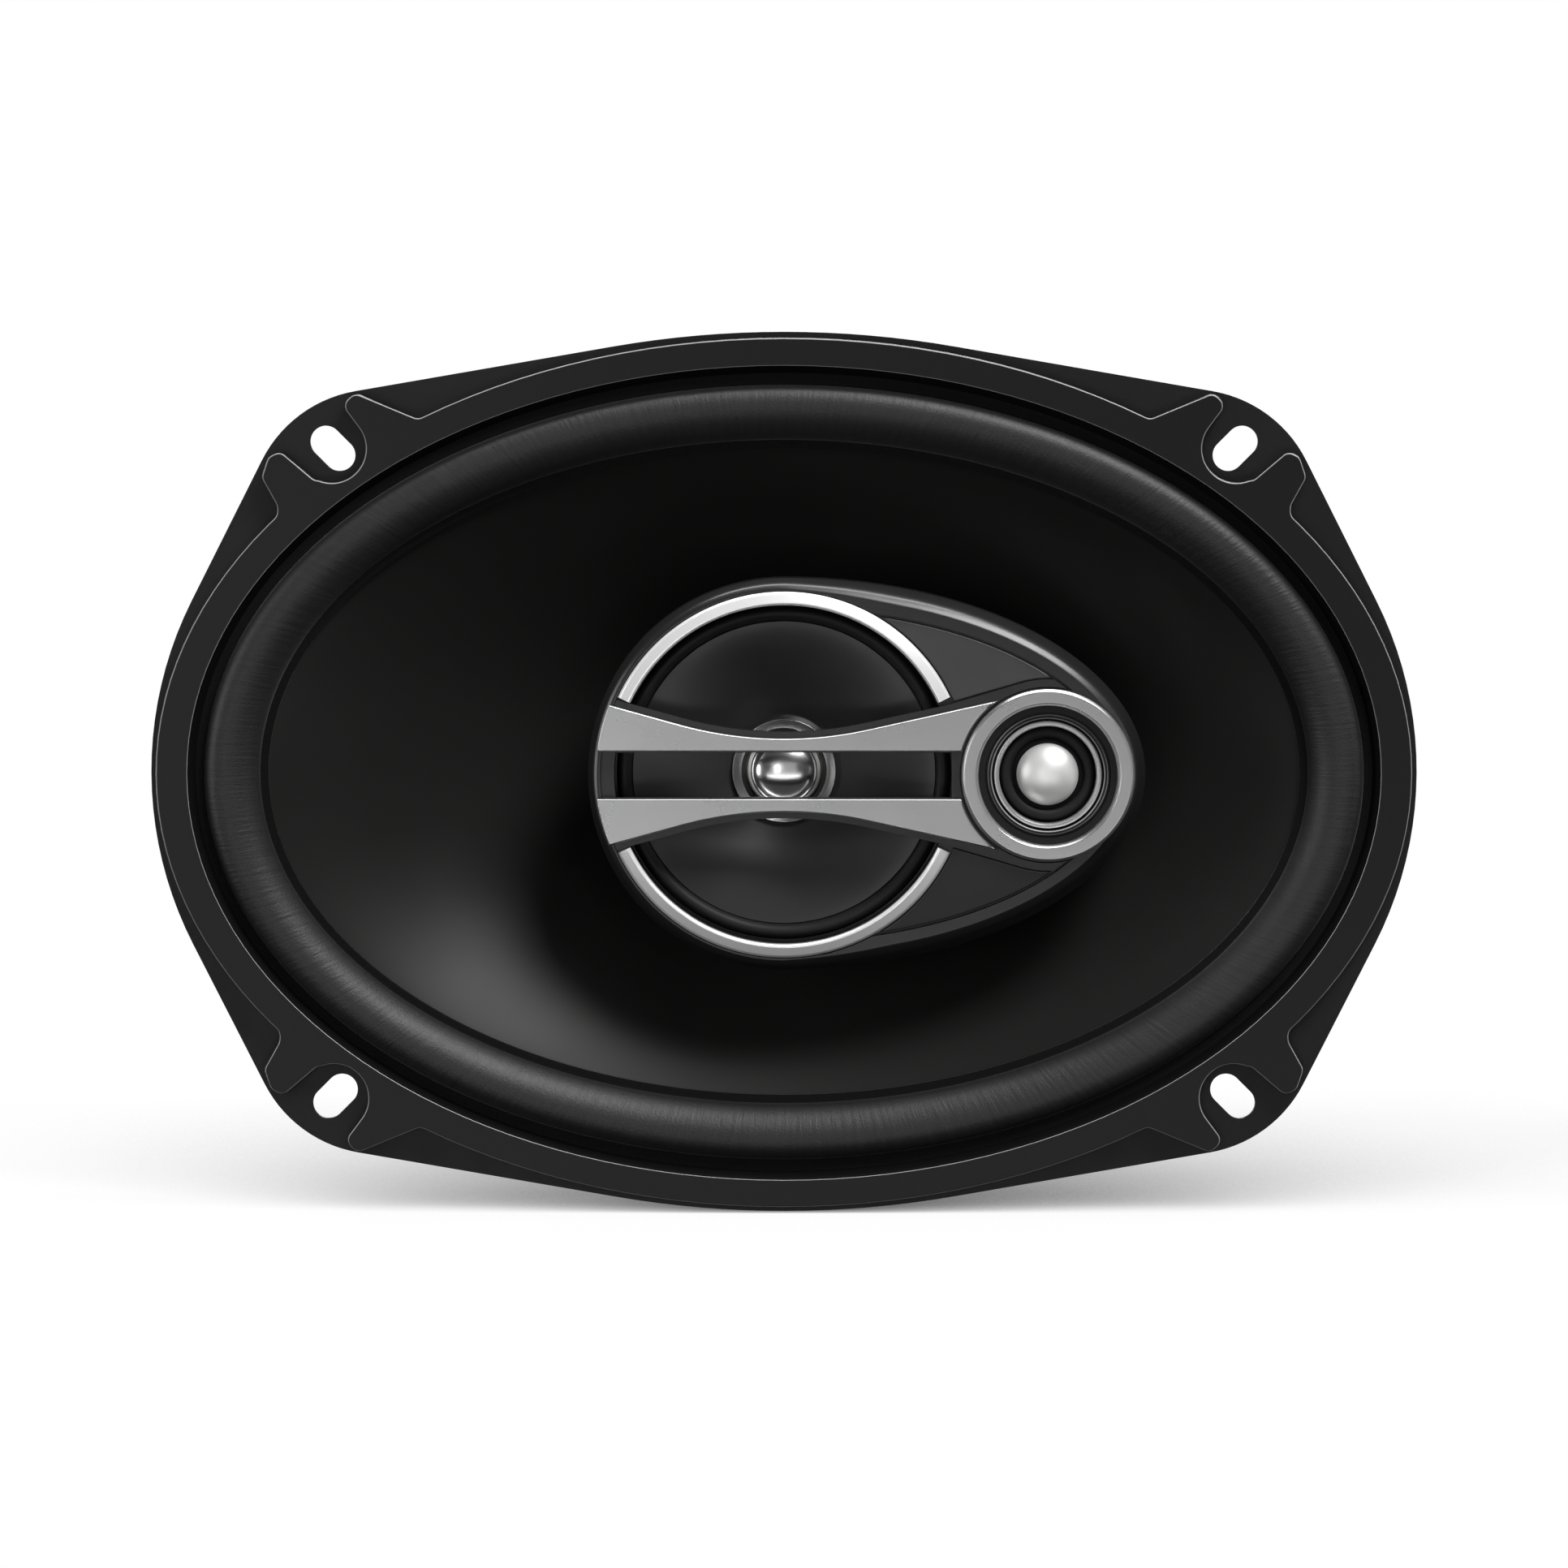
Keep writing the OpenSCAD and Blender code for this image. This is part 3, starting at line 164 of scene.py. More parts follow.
def grid(rows, wrap_rows=True):
    """A mesh over closed rows of points. Rows that don't wrap round get a cap at each end."""
    bm = bmesh.new()
    verts = [[bm.verts.new(place(*p)) for p in row] for row in rows]
    count, length = len(rows), len(rows[0])
    for i in range(count if wrap_rows else count - 1):
        for j in range(length):
            row, after = verts[i], verts[(i + 1) % count]
            j_next = (j + 1) % length
            bm.faces.new((row[j], after[j], after[j_next], row[j_next]))
    if not wrap_rows:
        bm.faces.new(verts[0])
        bm.faces.new(verts[-1][::-1])
    bmesh.ops.remove_doubles(bm, verts=bm.verts, dist=SAME_POINT)
    return bm


def lathe(profile, centre=(0, 0), start=0.0, sweep=360.0, steps=ROUND_STEPS):
    """Turns a closed (radius, front) profile about the front axis through centre, by degrees."""
    count = round(steps * sweep / 360)
    angles = [math.radians(start + sweep * i / count) for i in range(count + (sweep < 360))]
    rows = [[(centre[0] + r * math.cos(a), centre[1] + r * math.sin(a), front) for r, front in profile]
            for a in angles]
    return grid(rows, wrap_rows=sweep >= 360)


def slab(outline, back, front, edge, steps=4):
    """A plate between two levels whose front edge is rounded."""
    rows = [[(x, up, back) for x, up in outline]]
    for k in range(steps + 1):
        turn = math.pi / 2 * k / steps
        loop = inset(outline, edge * (1 - math.cos(turn)))
        rows.append([(x, up, front - edge + edge * math.sin(turn)) for x, up in loop])
    return grid(rows, wrap_rows=False)


def mirrored(bm):
    """The same mesh upside down."""
    for v in bm.verts:
        v.co.z = -v.co.z
    return bm


def piece(name, bm, slot, body, node):
    """A new object that replaces a CAD node. It has the finish of its slot and rides on its body.

    A piece that bends has no body here.
    """
    bmesh.ops.recalc_face_normals(bm, faces=bm.faces)
    mesh = bpy.data.meshes.new(name)
    bm.to_mesh(mesh)
    bm.free()
    mesh.shade_smooth()
    mesh.set_sharp_from_angle(angle=SHARP_ANGLE)
    mesh.materials.append(MATERIALS[slot])
    obj = bpy.data.objects.new(name, mesh)
    bpy.context.scene.collection.objects.link(obj)
    normals = obj.modifiers.new("even normals", "WEIGHTED_NORMAL")
    normals.keep_sharp = True
    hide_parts(node)
    if body:
        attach(obj, body)
    return obj


def weigh(obj, share):
    """Works out a piece's share(x, up), which is 0 at its fixed end and 1 at its moving end; the share isn't
    stored or used, so nothing blends.
    """
    co = np.array([v.co for v in obj.data.vertices], float) / MM
    t = np.clip(share(co[:, 0], co[:, 2]), 0, 1)


def cad_mesh(node, merge=0.001, join_faces=True):
    """A CAD node's mesh. Points closer than merge become one, and the triangles of a flat face join up."""
    bm = bmesh.new()
    bm.from_mesh(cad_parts[node].data)
    bmesh.ops.remove_doubles(bm, verts=bm.verts, dist=merge * MM)
    if join_faces:
        bmesh.ops.dissolve_limit(bm, angle_limit=math.radians(0.2), verts=bm.verts, edges=bm.edges)
    return bm


def round_edges(bm, width, steps, choose=None, angle=28, clamp=True):
    """Rounds the edges sharper than angle, in degrees. choose(edge) may narrow them down."""
    edges = [e for e in bm.edges if len(e.link_faces) == 2 and e.calc_face_angle(0) > math.radians(angle)
             and (choose is None or choose(e))]
    bmesh.ops.bevel(bm, geom=edges, offset=width * MM, segments=steps, profile=0.5, affect="EDGES",
                    clamp_overlap=clamp)
    return bm


def at_level(edge, front):
    """True when an edge lies on the plane at this front level."""
    return all(abs(-v.co.y / MM - front) < NEAR for v in edge.verts)


# ---------- materials ----------

class Nodes:
    """Short ways to add and join shader nodes."""

    def __init__(self, material):
        self.tree = material.node_tree
        self.shader = self.tree.nodes["Principled BSDF"]
        self.coords = self.tree.nodes.new("ShaderNodeTexCoord").outputs["Object"]

    def add(self, kind, **values):
        node = self.tree.nodes.new(kind)
        for key, value in values.items():
            if key in node.inputs:
                node.inputs[key].default_value = value
            else:
                setattr(node, key, value)
        return node

    def link(self, source, target):
        self.tree.links.new(source, target)

    def stretched(self, scale):
        mapping = self.add("ShaderNodeMapping", Scale=scale)
        self.link(self.coords, mapping.inputs["Vector"])
        return mapping.outputs["Vector"]

    def part(self, axis, vector=None):
        """The X, Y or Z of a vector, which is the place on the object unless one is given."""
        split = self.add("ShaderNodeSeparateXYZ")
        self.link(vector or self.coords, split.inputs["Vector"])
        return split.outputs[axis]

    def length(self, vector):
        node = self.add("ShaderNodeVectorMath", operation="LENGTH")
        self.link(vector, node.inputs[0])
        return node.outputs["Value"]

    def noise(self, scale, detail=4.0, vector=None):
        node = self.add("ShaderNodeTexNoise", Scale=scale, Detail=detail)
        self.link(vector or self.coords, node.inputs["Vector"])
        return node.outputs["Fac"]

    def math(self, operation, a, b=None):
        node = self.add("ShaderNodeMath", operation=operation)
        for socket, value in zip(node.inputs, (a, b)):
            if isinstance(value, bpy.types.NodeSocket):
                self.link(value, socket)
            elif value is not None:
                socket.default_value = value
        return node.outputs[0]

    def remap(self, value, low, high, start=0.0, end=1.0):
        """Goes from low to high while value goes from start to end."""
        node = self.add("ShaderNodeMapRange")
        node.inputs["From Min"].default_value = start
        node.inputs["From Max"].default_value = end
        node.inputs["To Min"].default_value = low
        node.inputs["To Max"].default_value = high
        self.link(value, node.inputs["Value"])
        return node.outputs["Result"]


COAT_ROUGHNESS, SHEEN_ROUGHNESS = 0.1, 0.4
DRIFT_RATE = 2.3          # the roughness drifts over smaller patches than the colour


def new_material(name, color, rough, metallic=0.0, tint=0.15, rough_spread=0.06, patch=60.0, specular=0.5,
                 coat=0.0, sheen=0.0, pattern=None):
    """A base finish whose colour, by pattern or a soft noise, and roughness drift over the surface."""
    material = bpy.data.materials.new(name)
    material.use_nodes = True
    n = Nodes(material)
    n.shader.inputs["Metallic"].default_value = metallic
    n.shader.inputs["Specular IOR Level"].default_value = specular
    n.shader.inputs["Coat Weight"].default_value = coat
    n.shader.inputs["Coat Roughness"].default_value = COAT_ROUGHNESS
    n.shader.inputs["Sheen Weight"].default_value = sheen
    n.shader.inputs["Sheen Roughness"].default_value = SHEEN_ROUGHNESS
    mix = n.add("ShaderNodeMix", data_type="RGBA")
    ends = {"A": [c * (1 - tint) for c in color] + [1], "B": [min(1, c * (1 + tint)) for c in color] + [1]}
    for socket in mix.inputs:
        if socket.type == "RGBA":
            socket.default_value = ends[socket.name]
    n.link(n.noise(patch, detail=5.0) if pattern is None else pattern(n), mix.inputs["Factor"])
    n.link(next(s for s in mix.outputs if s.type == "RGBA"), n.shader.inputs["Base Color"])
    drift = n.noise(patch * DRIFT_RATE, detail=6.0)
    n.link(n.remap(drift, rough - rough_spread, rough + rough_spread), n.shader.inputs["Roughness"])
    return material, n


def bump(n, height, strength, depth):
    """Feeds a height into the shader's normal. depth is in millimetres."""
    node = n.add("ShaderNodeBump", Strength=strength, Distance=depth * MM)
    n.link(height, node.inputs["Height"])
    n.link(node.outputs["Normal"], n.shader.inputs["Normal"])


def grained(name, color, rough, grain=2600.0, strength=0.25, depth=0.03, **more):
    """Moulded or painted surface with an even fine grain."""
    material, n = new_material(name, color, rough, **more)
    bump(n, n.noise(grain, detail=3.0), strength, depth)
    return material


def striped(name, color, rough, scale, strength=0.4, depth=0.05, **more):
    """Lines drawn out along one direction, as on brushed metal or ground ceramic."""
    material, n = new_material(name, color, rough, **more)
    bump(n, n.noise(1.0, vector=n.stretched(scale)), strength, depth)
    return material


STREAKS_ROUND, STREAKS_ACROSS = 105.0, 90.0     # per radian round the axis, and per metre from it
SHINE_FULL = 0.9                                # how far inside the outer foot the roll shines fully and its painted groove shade ends
SHINE_FALLS, SHINE_ENDS = ROLL_W - 0.7, ROLL_W + 0.1


def threads(n):
    """Fine uneven streaks that run across the roll, whose oval is made round to find their angle."""
    angle = n.math("ARCTAN2", n.math("MULTIPLY", n.part("Z"), ROLL_A / ROLL_B), n.part("X"))
    spread = n.add("ShaderNodeCombineXYZ")
    n.link(n.math("MULTIPLY", angle, STREAKS_ROUND), spread.inputs["X"])
    n.link(n.math("MULTIPLY", n.length(n.coords), STREAKS_ACROSS), spread.inputs["Y"])
    return n.noise(1.0, detail=5.0, vector=spread.outputs["Vector"])


def roll_inset(n):
    """How far a point lies inside the roll's outer foot, in metres."""
    a, b = ROLL_A * MM, ROLL_B * MM
    size = n.length(n.stretched((1 / a, 0, 1 / b)))
    slope = n.length(n.stretched((1 / a ** 2, 0, 1 / b ** 2)))
    return n.math("DIVIDE", n.math("MULTIPLY", n.math("SUBTRACT", 1, size), size), slope)


def roll_clear_of_groove_shade(n):
    """1 on the roll itself and 0 on its glued feet, which stay dull and have a painted shade: a darker colour
    in the grooves at the roll's edges.
    """
    depth = roll_inset(n)
    outer = n.remap(depth, 0, 1, 0, SHINE_FULL * MM)
    inner = n.remap(depth, 1, 0, SHINE_FALLS * MM, SHINE_ENDS * MM)
    return n.math("MULTIPLY", outer, inner)


def cloth_roll(name, color, rough):
    """Coated cloth: fine threads across the roll under an even coat, with dull feet in a painted shade that
    darkens the grooves at the roll's edges.
    """
    dull, shiny = 0.04, 0.42
    grain, grain_share = 2400.0, 0.5

    # Threads on the roll; on the feet the colour goes to its darker end, a painted groove shade.
    def threads_and_groove_shade(n):
        return n.math("MULTIPLY", threads(n), roll_clear_of_groove_shade(n))

    material, n = new_material(name, color, rough, tint=0.5, patch=240, sheen=0.1, pattern=threads_and_groove_shade)
    n.link(n.remap(roll_clear_of_groove_shade(n), dull, shiny), n.shader.inputs["Specular IOR Level"])
    fuzz = n.math("MULTIPLY", n.noise(grain, detail=3.0), grain_share)
    bump(n, n.math("ADD", threads(n), fuzz), strength=0.5, depth=0.2)
    return material


def edge_highlight_mask(n):
    """1 on surfaces that lean halfway between the speaker's face and its sides, such as rounded edges, where
    the colour gets a painted highlight.
    """
    peak, width = 0.75, 0.22
    facing = n.math("ABSOLUTE", n.part("Y", n.add("ShaderNodeTexCoord").outputs["Normal"]))
    lean = n.math("DIVIDE", n.math("SUBTRACT", facing, peak), width)
    return n.math("MAXIMUM", n.math("SUBTRACT", 1, n.math("MULTIPLY", lean, lean)), 0)


def edge_highlighted(name, color, rough, spread, grain, polish=0.12, **more):
    """Textured moulding whose edges are smoother and lighter in colour: a painted highlight on the edges."""
    # The edge mask sets the colour: dark on flat faces and lighter on the edges, a painted highlight.
    material, n = new_material(name, color, rough, tint=spread, pattern=edge_highlight_mask, **more)
    n.link(n.remap(edge_highlight_mask(n), rough, rough - polish), n.shader.inputs["Roughness"])
    bump(n, n.noise(grain, detail=3.0), strength=0.3, depth=0.02)
    return material


def crowned(name, color, rough, slope, grain=3400.0, grain_height=0.008, **more):
    """A panel with a slight crown: it leans away from the speaker's centre line."""
    material, n = new_material(name, color, rough, **more)
    fall = n.math("MULTIPLY", n.math("ABSOLUTE", n.part("Z")), -slope / MM)
    texture = n.math("MULTIPLY", n.noise(grain, detail=3.0), grain_height)
    bump(n, n.math("ADD", fall, texture), strength=1.0, depth=1.0)
    return material


def waves(n, axis, pitch):
    """A sine along one axis. pitch is in millimetres."""
    return n.math("SINE", n.math("MULTIPLY", n.part(axis), 2 * math.pi / (pitch * MM)))


def woven(name, color, rough, pitch, strength=0.6, depth=0.15, fibres=1500.0, **more):
    """Plain weave seen in the plane of the speaker's face."""
    material, n = new_material(name, color, rough, **more)
    weave = n.math("MULTIPLY", waves(n, "X", pitch), waves(n, "Z", pitch))
    bump(n, n.math("ADD", weave, n.noise(fibres)), strength, depth)
    return material


def wound(name, color, rough, pitch, strength=0.9, depth=0.2, **more):
    """Turns of fine wire that follow each other along the front axis."""
    material, n = new_material(name, color, rough, **more)
    bump(n, waves(n, "Y", pitch), strength, depth)
    return material


MATERIALS = {
    "black_steel": grained("black_steel", (0.0065, 0.0065, 0.007), 0.42, grain=1700, strength=0.5, depth=0.05,
                           specular=0.24),
    # ring_plastic: its rounded edges get a painted highlight in their colour.
    "ring_plastic": edge_highlighted("ring_plastic", (0.15, 0.15, 0.153), 0.38, 0.97, 3800, specular=0.24),
    "roll_rubber": cloth_roll("roll_rubber", (0.012, 0.012, 0.0125), 0.5),
    "spider_cloth": woven("spider_cloth", (0.50, 0.36, 0.16), 0.8, 0.55, tint=0.2, sheen=0.3),
    "copper_braid": striped("copper_braid", (0.72, 0.38, 0.20), 0.38, (900, 900, 2600), metallic=1.0),
    "zinc_steel": striped("zinc_steel", (0.56, 0.56, 0.54), 0.34, (500, 2500, 500), metallic=1.0, tint=0.1,
                          rough_spread=0.08, strength=0.2),
    "ferrite": grained("ferrite", (0.045, 0.045, 0.05), 0.55, grain=900, strength=0.4, depth=0.08, tint=0.35,
                       patch=180),
    "boot_rubber": grained("boot_rubber", (0.017, 0.017, 0.018), 0.52, grain=2200, strength=0.35, depth=0.04),
    "board": striped("board", (0.085, 0.048, 0.022), 0.5, (3000, 600, 600), tint=0.3),
    "brass": striped("brass", (0.78, 0.58, 0.26), 0.28, (600, 600, 2200), metallic=1.0, strength=0.15),
    "capacitor_sleeve": grained("capacitor_sleeve", (0.03, 0.06, 0.22), 0.25, grain=500, strength=0.1,
                                coat=0.4),
    "wire_sleeve": grained("wire_sleeve", (0.22, 0.015, 0.015), 0.35, grain=1200, strength=0.1),
    "pod_plastic": grained("pod_plastic", (0.011, 0.011, 0.0115), 0.3, grain=2800, strength=0.12,
                           depth=0.015),
    "panel_plastic": crowned("panel_plastic", (0.024, 0.024, 0.025), 0.38, 0.24, specular=0.6),
    "silver_trim": grained("silver_trim", (0.44, 0.44, 0.445), 0.28, grain=500, strength=0.05, depth=0.01,
                           metallic=0.85, tint=0.04, rough_spread=0.03, coat=0.25),
    "bright_trim": grained("bright_trim", (0.96, 0.96, 0.965), 0.3, grain=500, strength=0.05, depth=0.01,
                           metallic=0.5, tint=0.04, rough_spread=0.03, coat=0.25),
    "chrome_plate": grained("chrome_plate", (0.90, 0.90, 0.905), 0.22, grain=300, strength=0.02, metallic=1.0,
                            tint=0.02, rough_spread=0.03),
    "mid_surround": grained("mid_surround", (0.008, 0.008, 0.008), 0.55, grain=2400, strength=0.4, depth=0.04,
                            specular=0.3),
    "cone_poly": grained("cone_poly", (0.0135, 0.0133, 0.013), 0.36, grain=900, strength=0.1, depth=0.02,
                         tint=0.12, rough_spread=0.03, patch=30, specular=0.12),
    "former": wound("former", (0.50, 0.34, 0.14), 0.4, 1.4, strength=0.2),
    "copper_wire": wound("copper_wire", (0.62, 0.26, 0.11), 0.32, 0.3, metallic=1.0),
    "dark_former": wound("dark_former", (0.012, 0.010, 0.009), 0.45, 0.25, strength=0.5, specular=0.3),
    "cap_cloth": woven("cap_cloth", (0.018, 0.018, 0.019), 0.6, 0.5, sheen=0.2),
    "mid_cone": grained("mid_cone", (0.024, 0.024, 0.0245), 0.34, grain=1800, strength=0.12, depth=0.02,
                        specular=0.45),
    "dome_metal": grained("dome_metal", (0.88, 0.88, 0.86), 0.42, strength=0.08, depth=0.01, metallic=0.5,
                          tint=0.04, rough_spread=0.04),
}


# ---------- chassis and woofer ----------

def basket():
    bm = round_edges(cad_mesh("basket"), 0.22, 2, angle=40)
    piece("basket_pressing", bm, "black_steel", "chassis", "basket")


def front_gasket():
    """Moulded ring in front of the surround, with its horns beside the screw slots."""
    margin, mouth_round, outer_round = 5, 0.12, 0.4

    def in_mouth(e):
        return all(math.hypot(v.co.x / (ROLL_A + margin), v.co.z / (ROLL_B + margin)) < MM for v in e.verts)

    bm = cad_mesh("front_gasket", 0.08)
    round_edges(bm, mouth_round, 2, lambda e: at_level(e, GASKET_FRONT) and in_mouth(e), clamp=False)
    round_edges(bm, outer_round, 4, lambda e: at_level(e, GASKET_FRONT) and not in_mouth(e), clamp=False)
    piece("front_ring", bm, "ring_plastic", "chassis", "front_gasket")


def oval_loft(section, steps=OVAL_STEPS):
    """section(cos_u, sin_u) gives a closed list of points for each angle round the oval."""
    turns = [2 * math.pi * i / steps for i in range(steps)]
    return grid([section(math.cos(u), math.sin(u)) for u in turns])


def roll_profile(steps=26):
    """(inset from the roll's outer foot, front) across the underside of the surround."""
    foot, end = FLANGE_FRONT + GAP, CONE_EDGE + 2 * GAP
    lip = [(ROLL_A - LIP_A, foot), (-2.6, foot), (-0.8, foot + GAP)]
    arch = []
    for k in range(steps + 1):
        s = 0.5 - 0.5 * math.cos(math.pi * k / steps)
        height = ROLL_H * math.sqrt(max(0.0, 1 - (2 * s - 1) ** 2))
        arch.append((ROLL_W * s, foot * (1 - s) + end * s + height))
    flap = [(ROLL_W + 0.35, end - 0.12), (ROLL_W + 1.1, end - 0.1), (ROLL_W + 1.55, end - 0.2)]
    return lip + arch + flap


def inset_of(x, up):
    """How far a point lies inside the roll's outer foot, measured on the family of ovals."""
    beyond_lip, past_rim = -8.0, 40.0
    low, high = np.full_like(x, beyond_lip), np.full_like(x, past_rim)
    for _ in range(HALVINGS):
        mid = (low + high) / 2
        outside = (x / (ROLL_A - mid)) ** 2 + (up / (ROLL_B - mid)) ** 2 > 1
        high = np.where(outside, mid, high)
        low = np.where(outside, low, mid)
    return (low + high) / 2


def surround():
    """Half roll between the front ring and the cone, on no body."""
    underside = roll_profile()
    topside = [(w, front + ROLL_T) for w, front in underside]

    def section(c, s):
        def point(w, front):
            share = max(0.0, -w) / (LIP_A - ROLL_A)
            b = ROLL_B - w if w >= 0 else ROLL_B + share * (LIP_B - ROLL_B)
            return ((ROLL_A - w) * c, b * s, front)
        return [point(*p) for p in topside] + [point(*p) for p in reversed(underside)]

    obj = piece("surround_roll", oval_loft(section, 2 * OVAL_STEPS), "roll_rubber", None, "surround")
    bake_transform(obj)
    weigh(obj, lambda x, up: inset_of(x, up) / ROLL_W)


def woofer_cone():
    """Smooth moulded cone with the soft curve of its CAD solid."""
    curve, crowding, wall, rows = 1.12, 1.4, 0.7, 36
    shares = [1 - (1 - j / rows) ** crowding for j in range(rows + 1)]

    def point(t, c, s, drop):
        a = CONE_NECK_R + (CONE_A - CONE_NECK_R) * t
        b = CONE_NECK_R + (CONE_B - CONE_NECK_R) * t
        return (a * c, b * s, CONE_NECK + (CONE_EDGE - CONE_NECK) * (1 - (1 - t) ** curve) - drop)

    def section(c, s):
        return [point(t, c, s, 0) for t in shares] + [point(t, c, s, wall) for t in reversed(shares)]

    piece("woofer_cone_shell", oval_loft(section), "cone_poly", "woofer", "woofer_cone")


def spider():
    """Corrugated cloth disc that centres the coil, on no body."""
    corrugations, hub_flat, rim_flat, height, cloth, count = 5, 1.5, 5.8, 1.2, 0.5, 110
    r0, r1 = span("voice_coil_former")[0][1] + 2 * GAP, span("spider")[0][1]
    middle = sum(span("spider")[2]) / 2 - cloth / 2
    run = r1 - rim_flat - r0 - hub_flat
    radii = [r0 + (r1 - r0) * i / count for i in range(count + 1)]

    def wave(r):
        s = (r - r0 - hub_flat) / run
        return height * math.sin(2 * math.pi * corrugations * s) if 0 < s < 1 else 0.0

    profile = [(r, middle + wave(r)) for r in radii]
    profile += [(r, front + cloth) for r, front in reversed(profile)]
    obj = piece("spider_cloth_disc", lathe(profile), "spider_cloth", None, "spider")
    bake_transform(obj)
    weigh(obj, lambda x, up: (r1 - rim_flat - np.hypot(x, up)) / run)


def tinsel_leads():
    """Braided leads between the chassis and the cone, on no body."""
    bm = cad_mesh("tinsel_leads", join_faces=False)
    obj = piece("tinsel_lead_pair", bm, "copper_braid", None, "tinsel_leads")
    low, high = span("tinsel_leads")[1]
    place(0, low, 0)
    place(0, high, 0)
    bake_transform(obj)


# ---------- pod ----------

# The shoulder's section from the pod's face to its side wall, as shares of the shoulder's width:
# how far inside the outline, and how far behind the face. It is narrow on the left, beside the silver ring.
SHOULDER_INSET = (1.0, 0.94, 0.86, 0.74, 0.62, 0.5, 0.35, 0.15, 0.0)
SHOULDER_DROP = (0.0, 0.01, 0.04, 0.11, 0.19, 0.28, 0.49, 0.86, 1.15)
SHOULDER_LEFT, SHOULDER_RIGHT, SHOULDER_FULL_X = 2.0, 3.3, 20.0
SHOULDER_STEPS = len(SHOULDER_INSET) - 1


def egg_inset(vertex):
    """How far a vertex lies inside the pod's outline: a circle on the left, half an oval on the right."""
    x, up = vertex.co.x / MM, vertex.co.z / MM
    if x < 0:
        return POD_R - math.hypot(x, up)
    return (1 - math.hypot(x / POD_REACH, up / POD_R)) * POD_R


def shoulder(bm):
    """Gives the even round that was just cut along the pod's outline the shoulder's own section."""
    for v in bm.verts:
        x, up, drop = v.co.x / MM, v.co.z / MM, POD_FACE + v.co.y / MM
        if not -NEAR < drop < SHOULDER_LEFT + NEAR or egg_inset(v) > SHOULDER_LEFT + 5 * NEAR:
            continue
        turn = math.acos(max(0.0, min(1.0, 1 - drop / SHOULDER_LEFT)))
        step = SHOULDER_STEPS * turn / (math.pi / 2)
        width = float(np.interp(x, (0, SHOULDER_FULL_X), (SHOULDER_LEFT, SHOULDER_RIGHT)))
        reach = POD_REACH if x > 0 else POD_R
        inward = -Vector((x / reach ** 2, 0, up / POD_R ** 2)).normalized()
        inset_share = float(np.interp(step, range(SHOULDER_STEPS + 1), SHOULDER_INSET))
        drop_share = float(np.interp(step, range(SHOULDER_STEPS + 1), SHOULDER_DROP))
        v.co += inward * (width * inset_share - SHOULDER_LEFT * (1 - math.sin(turn))) * MM
        v.co.y += (width * drop_share - drop) * MM


def pod_housing():
    """The pod's body, with a rounded shoulder that falls steeply to its side wall."""
    outline, past_shoulder, small_round = 0.3, 2.5, 0.18
    bm = cad_mesh("pod_housing")
    round_edges(bm, SHOULDER_LEFT, SHOULDER_STEPS,
                lambda e: at_level(e, POD_FACE) and all(egg_inset(v) < outline for v in e.verts))
    round_edges(bm, small_round, 2, lambda e: all(egg_inset(v) >= past_shoulder for v in e.verts))
    shoulder(bm)
    piece("pod_shell", bm, "pod_plastic", "chassis", "pod_housing")


BAR_GAP, BAR_WAIST, BAR_HOLLOW_R, BAR_EDGE = 4.37, 6.8, 72.0, 0.38
BAR_SLOPE_LEFT, BAR_SLOPE_RIGHT = math.radians(15.4), math.radians(12.5)
BAR_END_R, BAR_FOOT_R = 34.9, BEZEL_R + 0.6


def bar_edge(x):
    """Height of a silver bar's outer edge: a hollow arc, with a straight flare on each side."""
    slope = BAR_SLOPE_RIGHT if x > 0 else BAR_SLOPE_LEFT
    run, x = BAR_HOLLOW_R * math.sin(slope), abs(x)
    if x < run:
        return BAR_WAIST + BAR_HOLLOW_R - math.sqrt(BAR_HOLLOW_R ** 2 - x * x)
    return BAR_WAIST + BAR_HOLLOW_R * (1 - math.cos(slope)) + (x - run) * math.tan(slope)


def meet(low, high, inside):
    """The x between low and high where inside(x) changes from true to false."""
    for _ in range(HALVINGS):
        mid = (low + high) / 2
        low, high = (mid, high) if inside(mid) else (low, mid)
    return (low + high) / 2


def bar_outline(edge_steps=60):
    """The upper bar from the gap round the bezel, back along its outer edge, and down the pod's rim."""
    left = meet(0, -BAR_END_R, lambda x: math.hypot(x, bar_edge(x)) < BAR_END_R)
    right = meet(0, TWEETER_X, lambda x: math.hypot(x - TWEETER_X, bar_edge(x)) > BAR_FOOT_R)
    foot = arc((TWEETER_X, 0), (BAR_FOOT_R, BAR_FOOT_R), math.pi - math.asin(BAR_GAP / BAR_FOOT_R),
               math.atan2(bar_edge(right), right - TWEETER_X), 12)
    xs = [right + (left - right) * k / edge_steps for k in range(1, edge_steps)]
    end = arc((0, 0), (BAR_END_R, BAR_END_R), math.atan2(bar_edge(left), left),
              math.pi - math.asin(BAR_GAP / BAR_END_R), 6)
    return end[-1:] + foot + [(x, bar_edge(x)) for x in xs] + end[:-1]


def bars():
    for node, turn in (("bar_trim_upper", False), ("bar_trim_lower", True)):
        bm = slab(bar_outline(), BRIDGE_TOP, BAR_TOP, BAR_EDGE)
        piece(node + "_form", mirrored(bm) if turn else bm, "silver_trim", "chassis", node)


